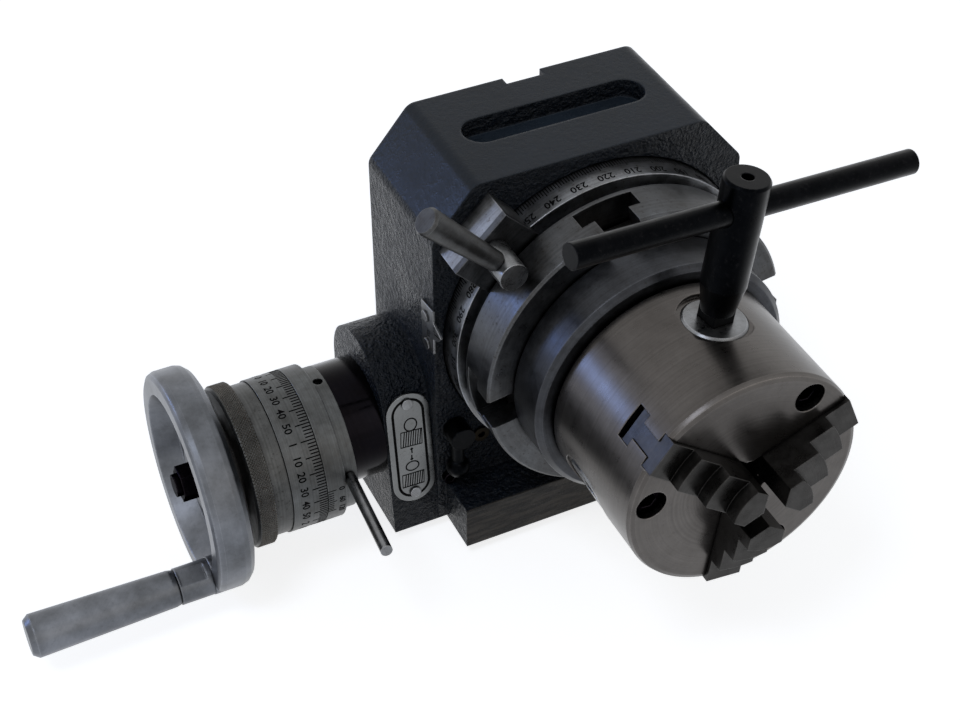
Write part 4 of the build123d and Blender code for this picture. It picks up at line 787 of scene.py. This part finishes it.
def placeCamera():
    look = photoView
    yaw, pitch, roll = (radians(look[key]) for key in ("yaw", "pitch", "roll"))
    forward = Vector((sin(yaw) * cos(pitch), cos(yaw) * cos(pitch), -sin(pitch)))
    level = Vector((cos(yaw), -sin(yaw), 0))
    lower = forward.cross(level)
    right = level * cos(roll) + lower * sin(roll)
    down = lower * cos(roll) - level * sin(roll)
    turn = Matrix((right, -down, -forward)).transposed()
    data = bpy.data.cameras.new("photo view")
    data.lens = look["lens"]
    data.sensor_width = look["sensor"]
    data.clip_start = look["near"]
    data.clip_end = look["far"]
    camera = bpy.data.objects.new("photo view", data)
    camera.matrix_world = Matrix.Translation(look["spot"]) @ turn.to_4x4()
    bpy.context.scene.collection.objects.link(camera)
    bpy.context.scene.camera = camera


placeCamera()


# Floor and world are lit plainly, and look white to the camera and in reflections. A bluish window
# stands low behind the left side, with a softer one above and a faint warm fill in front.
studio = {"floorSize": 40.0, "floorGap": 0.2 * mm, "floorColour": "#e9e9e8", "floorGlow": 0.80,
          "world": "#c9d2de", "worldStrength": 0.30, "white": (1, 1, 1, 1), "aim": (-0.05, -0.03, 0.06)}
lamps = {
    "low window": {"spot": (-1.0, 0.85, 0.33), "size": 0.24, "power": 1.9, "colour": "#92b4ff"},
    "upper window": {"spot": (-0.8, -0.4, 1.6), "size": 0.5, "power": 4.6, "colour": "#e6eeff"},
    "front fill": {"spot": (0.7, -1.4, 0.9), "size": 1.2, "power": 2.0, "colour": "#fff3e6"},
}


def seenDirectly(tree):
    path = addNode(tree, "ShaderNodeLightPath").outputs
    straight = addNode(tree, "ShaderNodeMath", {0: path["Is Camera Ray"], 1: path["Is Glossy Ray"]},
                       operation="MAXIMUM").outputs[0]
    return addNode(tree, "ShaderNodeMath", {0: straight, 1: path["Is Transmission Ray"]},
                   operation="MAXIMUM").outputs[0]


def makeFloor():
    half = studio["floorSize"] / 2
    level = cadBox[0].z - studio["floorGap"]
    mesh = bpy.data.meshes.new("floor")
    corners = [(-half, -half, level), (half, -half, level), (half, half, level), (-half, half, level)]
    mesh.from_pydata(corners, [], [(0, 1, 2, 3)])
    floor = bpy.data.objects.new("floor", mesh)
    bpy.context.scene.collection.objects.link(floor)
    material = bpy.data.materials.new("pale floor")
    material.use_nodes = True
    tree = material.node_tree
    tree.nodes.clear()
    diffuse = addNode(tree, "ShaderNodeBsdfDiffuse", {"Color": toLinear(studio["floorColour"])})
    strength = addNode(tree, "ShaderNodeMath", {0: seenDirectly(tree), 1: studio["floorGlow"]},
                       operation="MULTIPLY").outputs[0]
    glow = addNode(tree, "ShaderNodeEmission", {"Color": studio["white"], "Strength": strength})
    both = addNode(tree, "ShaderNodeAddShader", {0: diffuse.outputs[0], 1: glow.outputs[0]})
    addNode(tree, "ShaderNodeOutputMaterial", {"Surface": both.outputs[0]})
    mesh.materials.append(material)


def makeWorld():
    world = bpy.data.worlds.new("studio")
    world.use_nodes = True
    tree = world.node_tree
    tree.nodes.clear()
    lit = addNode(tree, "ShaderNodeBackground", {
        "Color": toLinear(studio["world"]), "Strength": studio["worldStrength"]})
    white = addNode(tree, "ShaderNodeBackground", {"Color": studio["white"], "Strength": 1.0})
    mixed = addNode(tree, "ShaderNodeMixShader", {
        0: seenDirectly(tree), 1: lit.outputs[0], 2: white.outputs[0]})
    addNode(tree, "ShaderNodeOutputWorld", {"Surface": mixed.outputs[0]})
    bpy.context.scene.world = world
    bpy.context.scene.view_settings.view_transform = "Standard"


def hangLamps():
    for name, look in lamps.items():
        data = bpy.data.lights.new(name, "AREA")
        data.energy = look["power"]
        data.size = look["size"]
        data.color = toLinear(look["colour"])[:3]
        lamp = bpy.data.objects.new(name, data)
        lamp.location = look["spot"]
        aim = Vector(studio["aim"]) - Vector(look["spot"])
        lamp.rotation_euler = aim.to_track_quat("-Z", "Y").to_euler()
        bpy.context.scene.collection.objects.link(lamp)


makeFloor()
makeWorld()
hangLamps()
print("camera, floor and lamps in place")
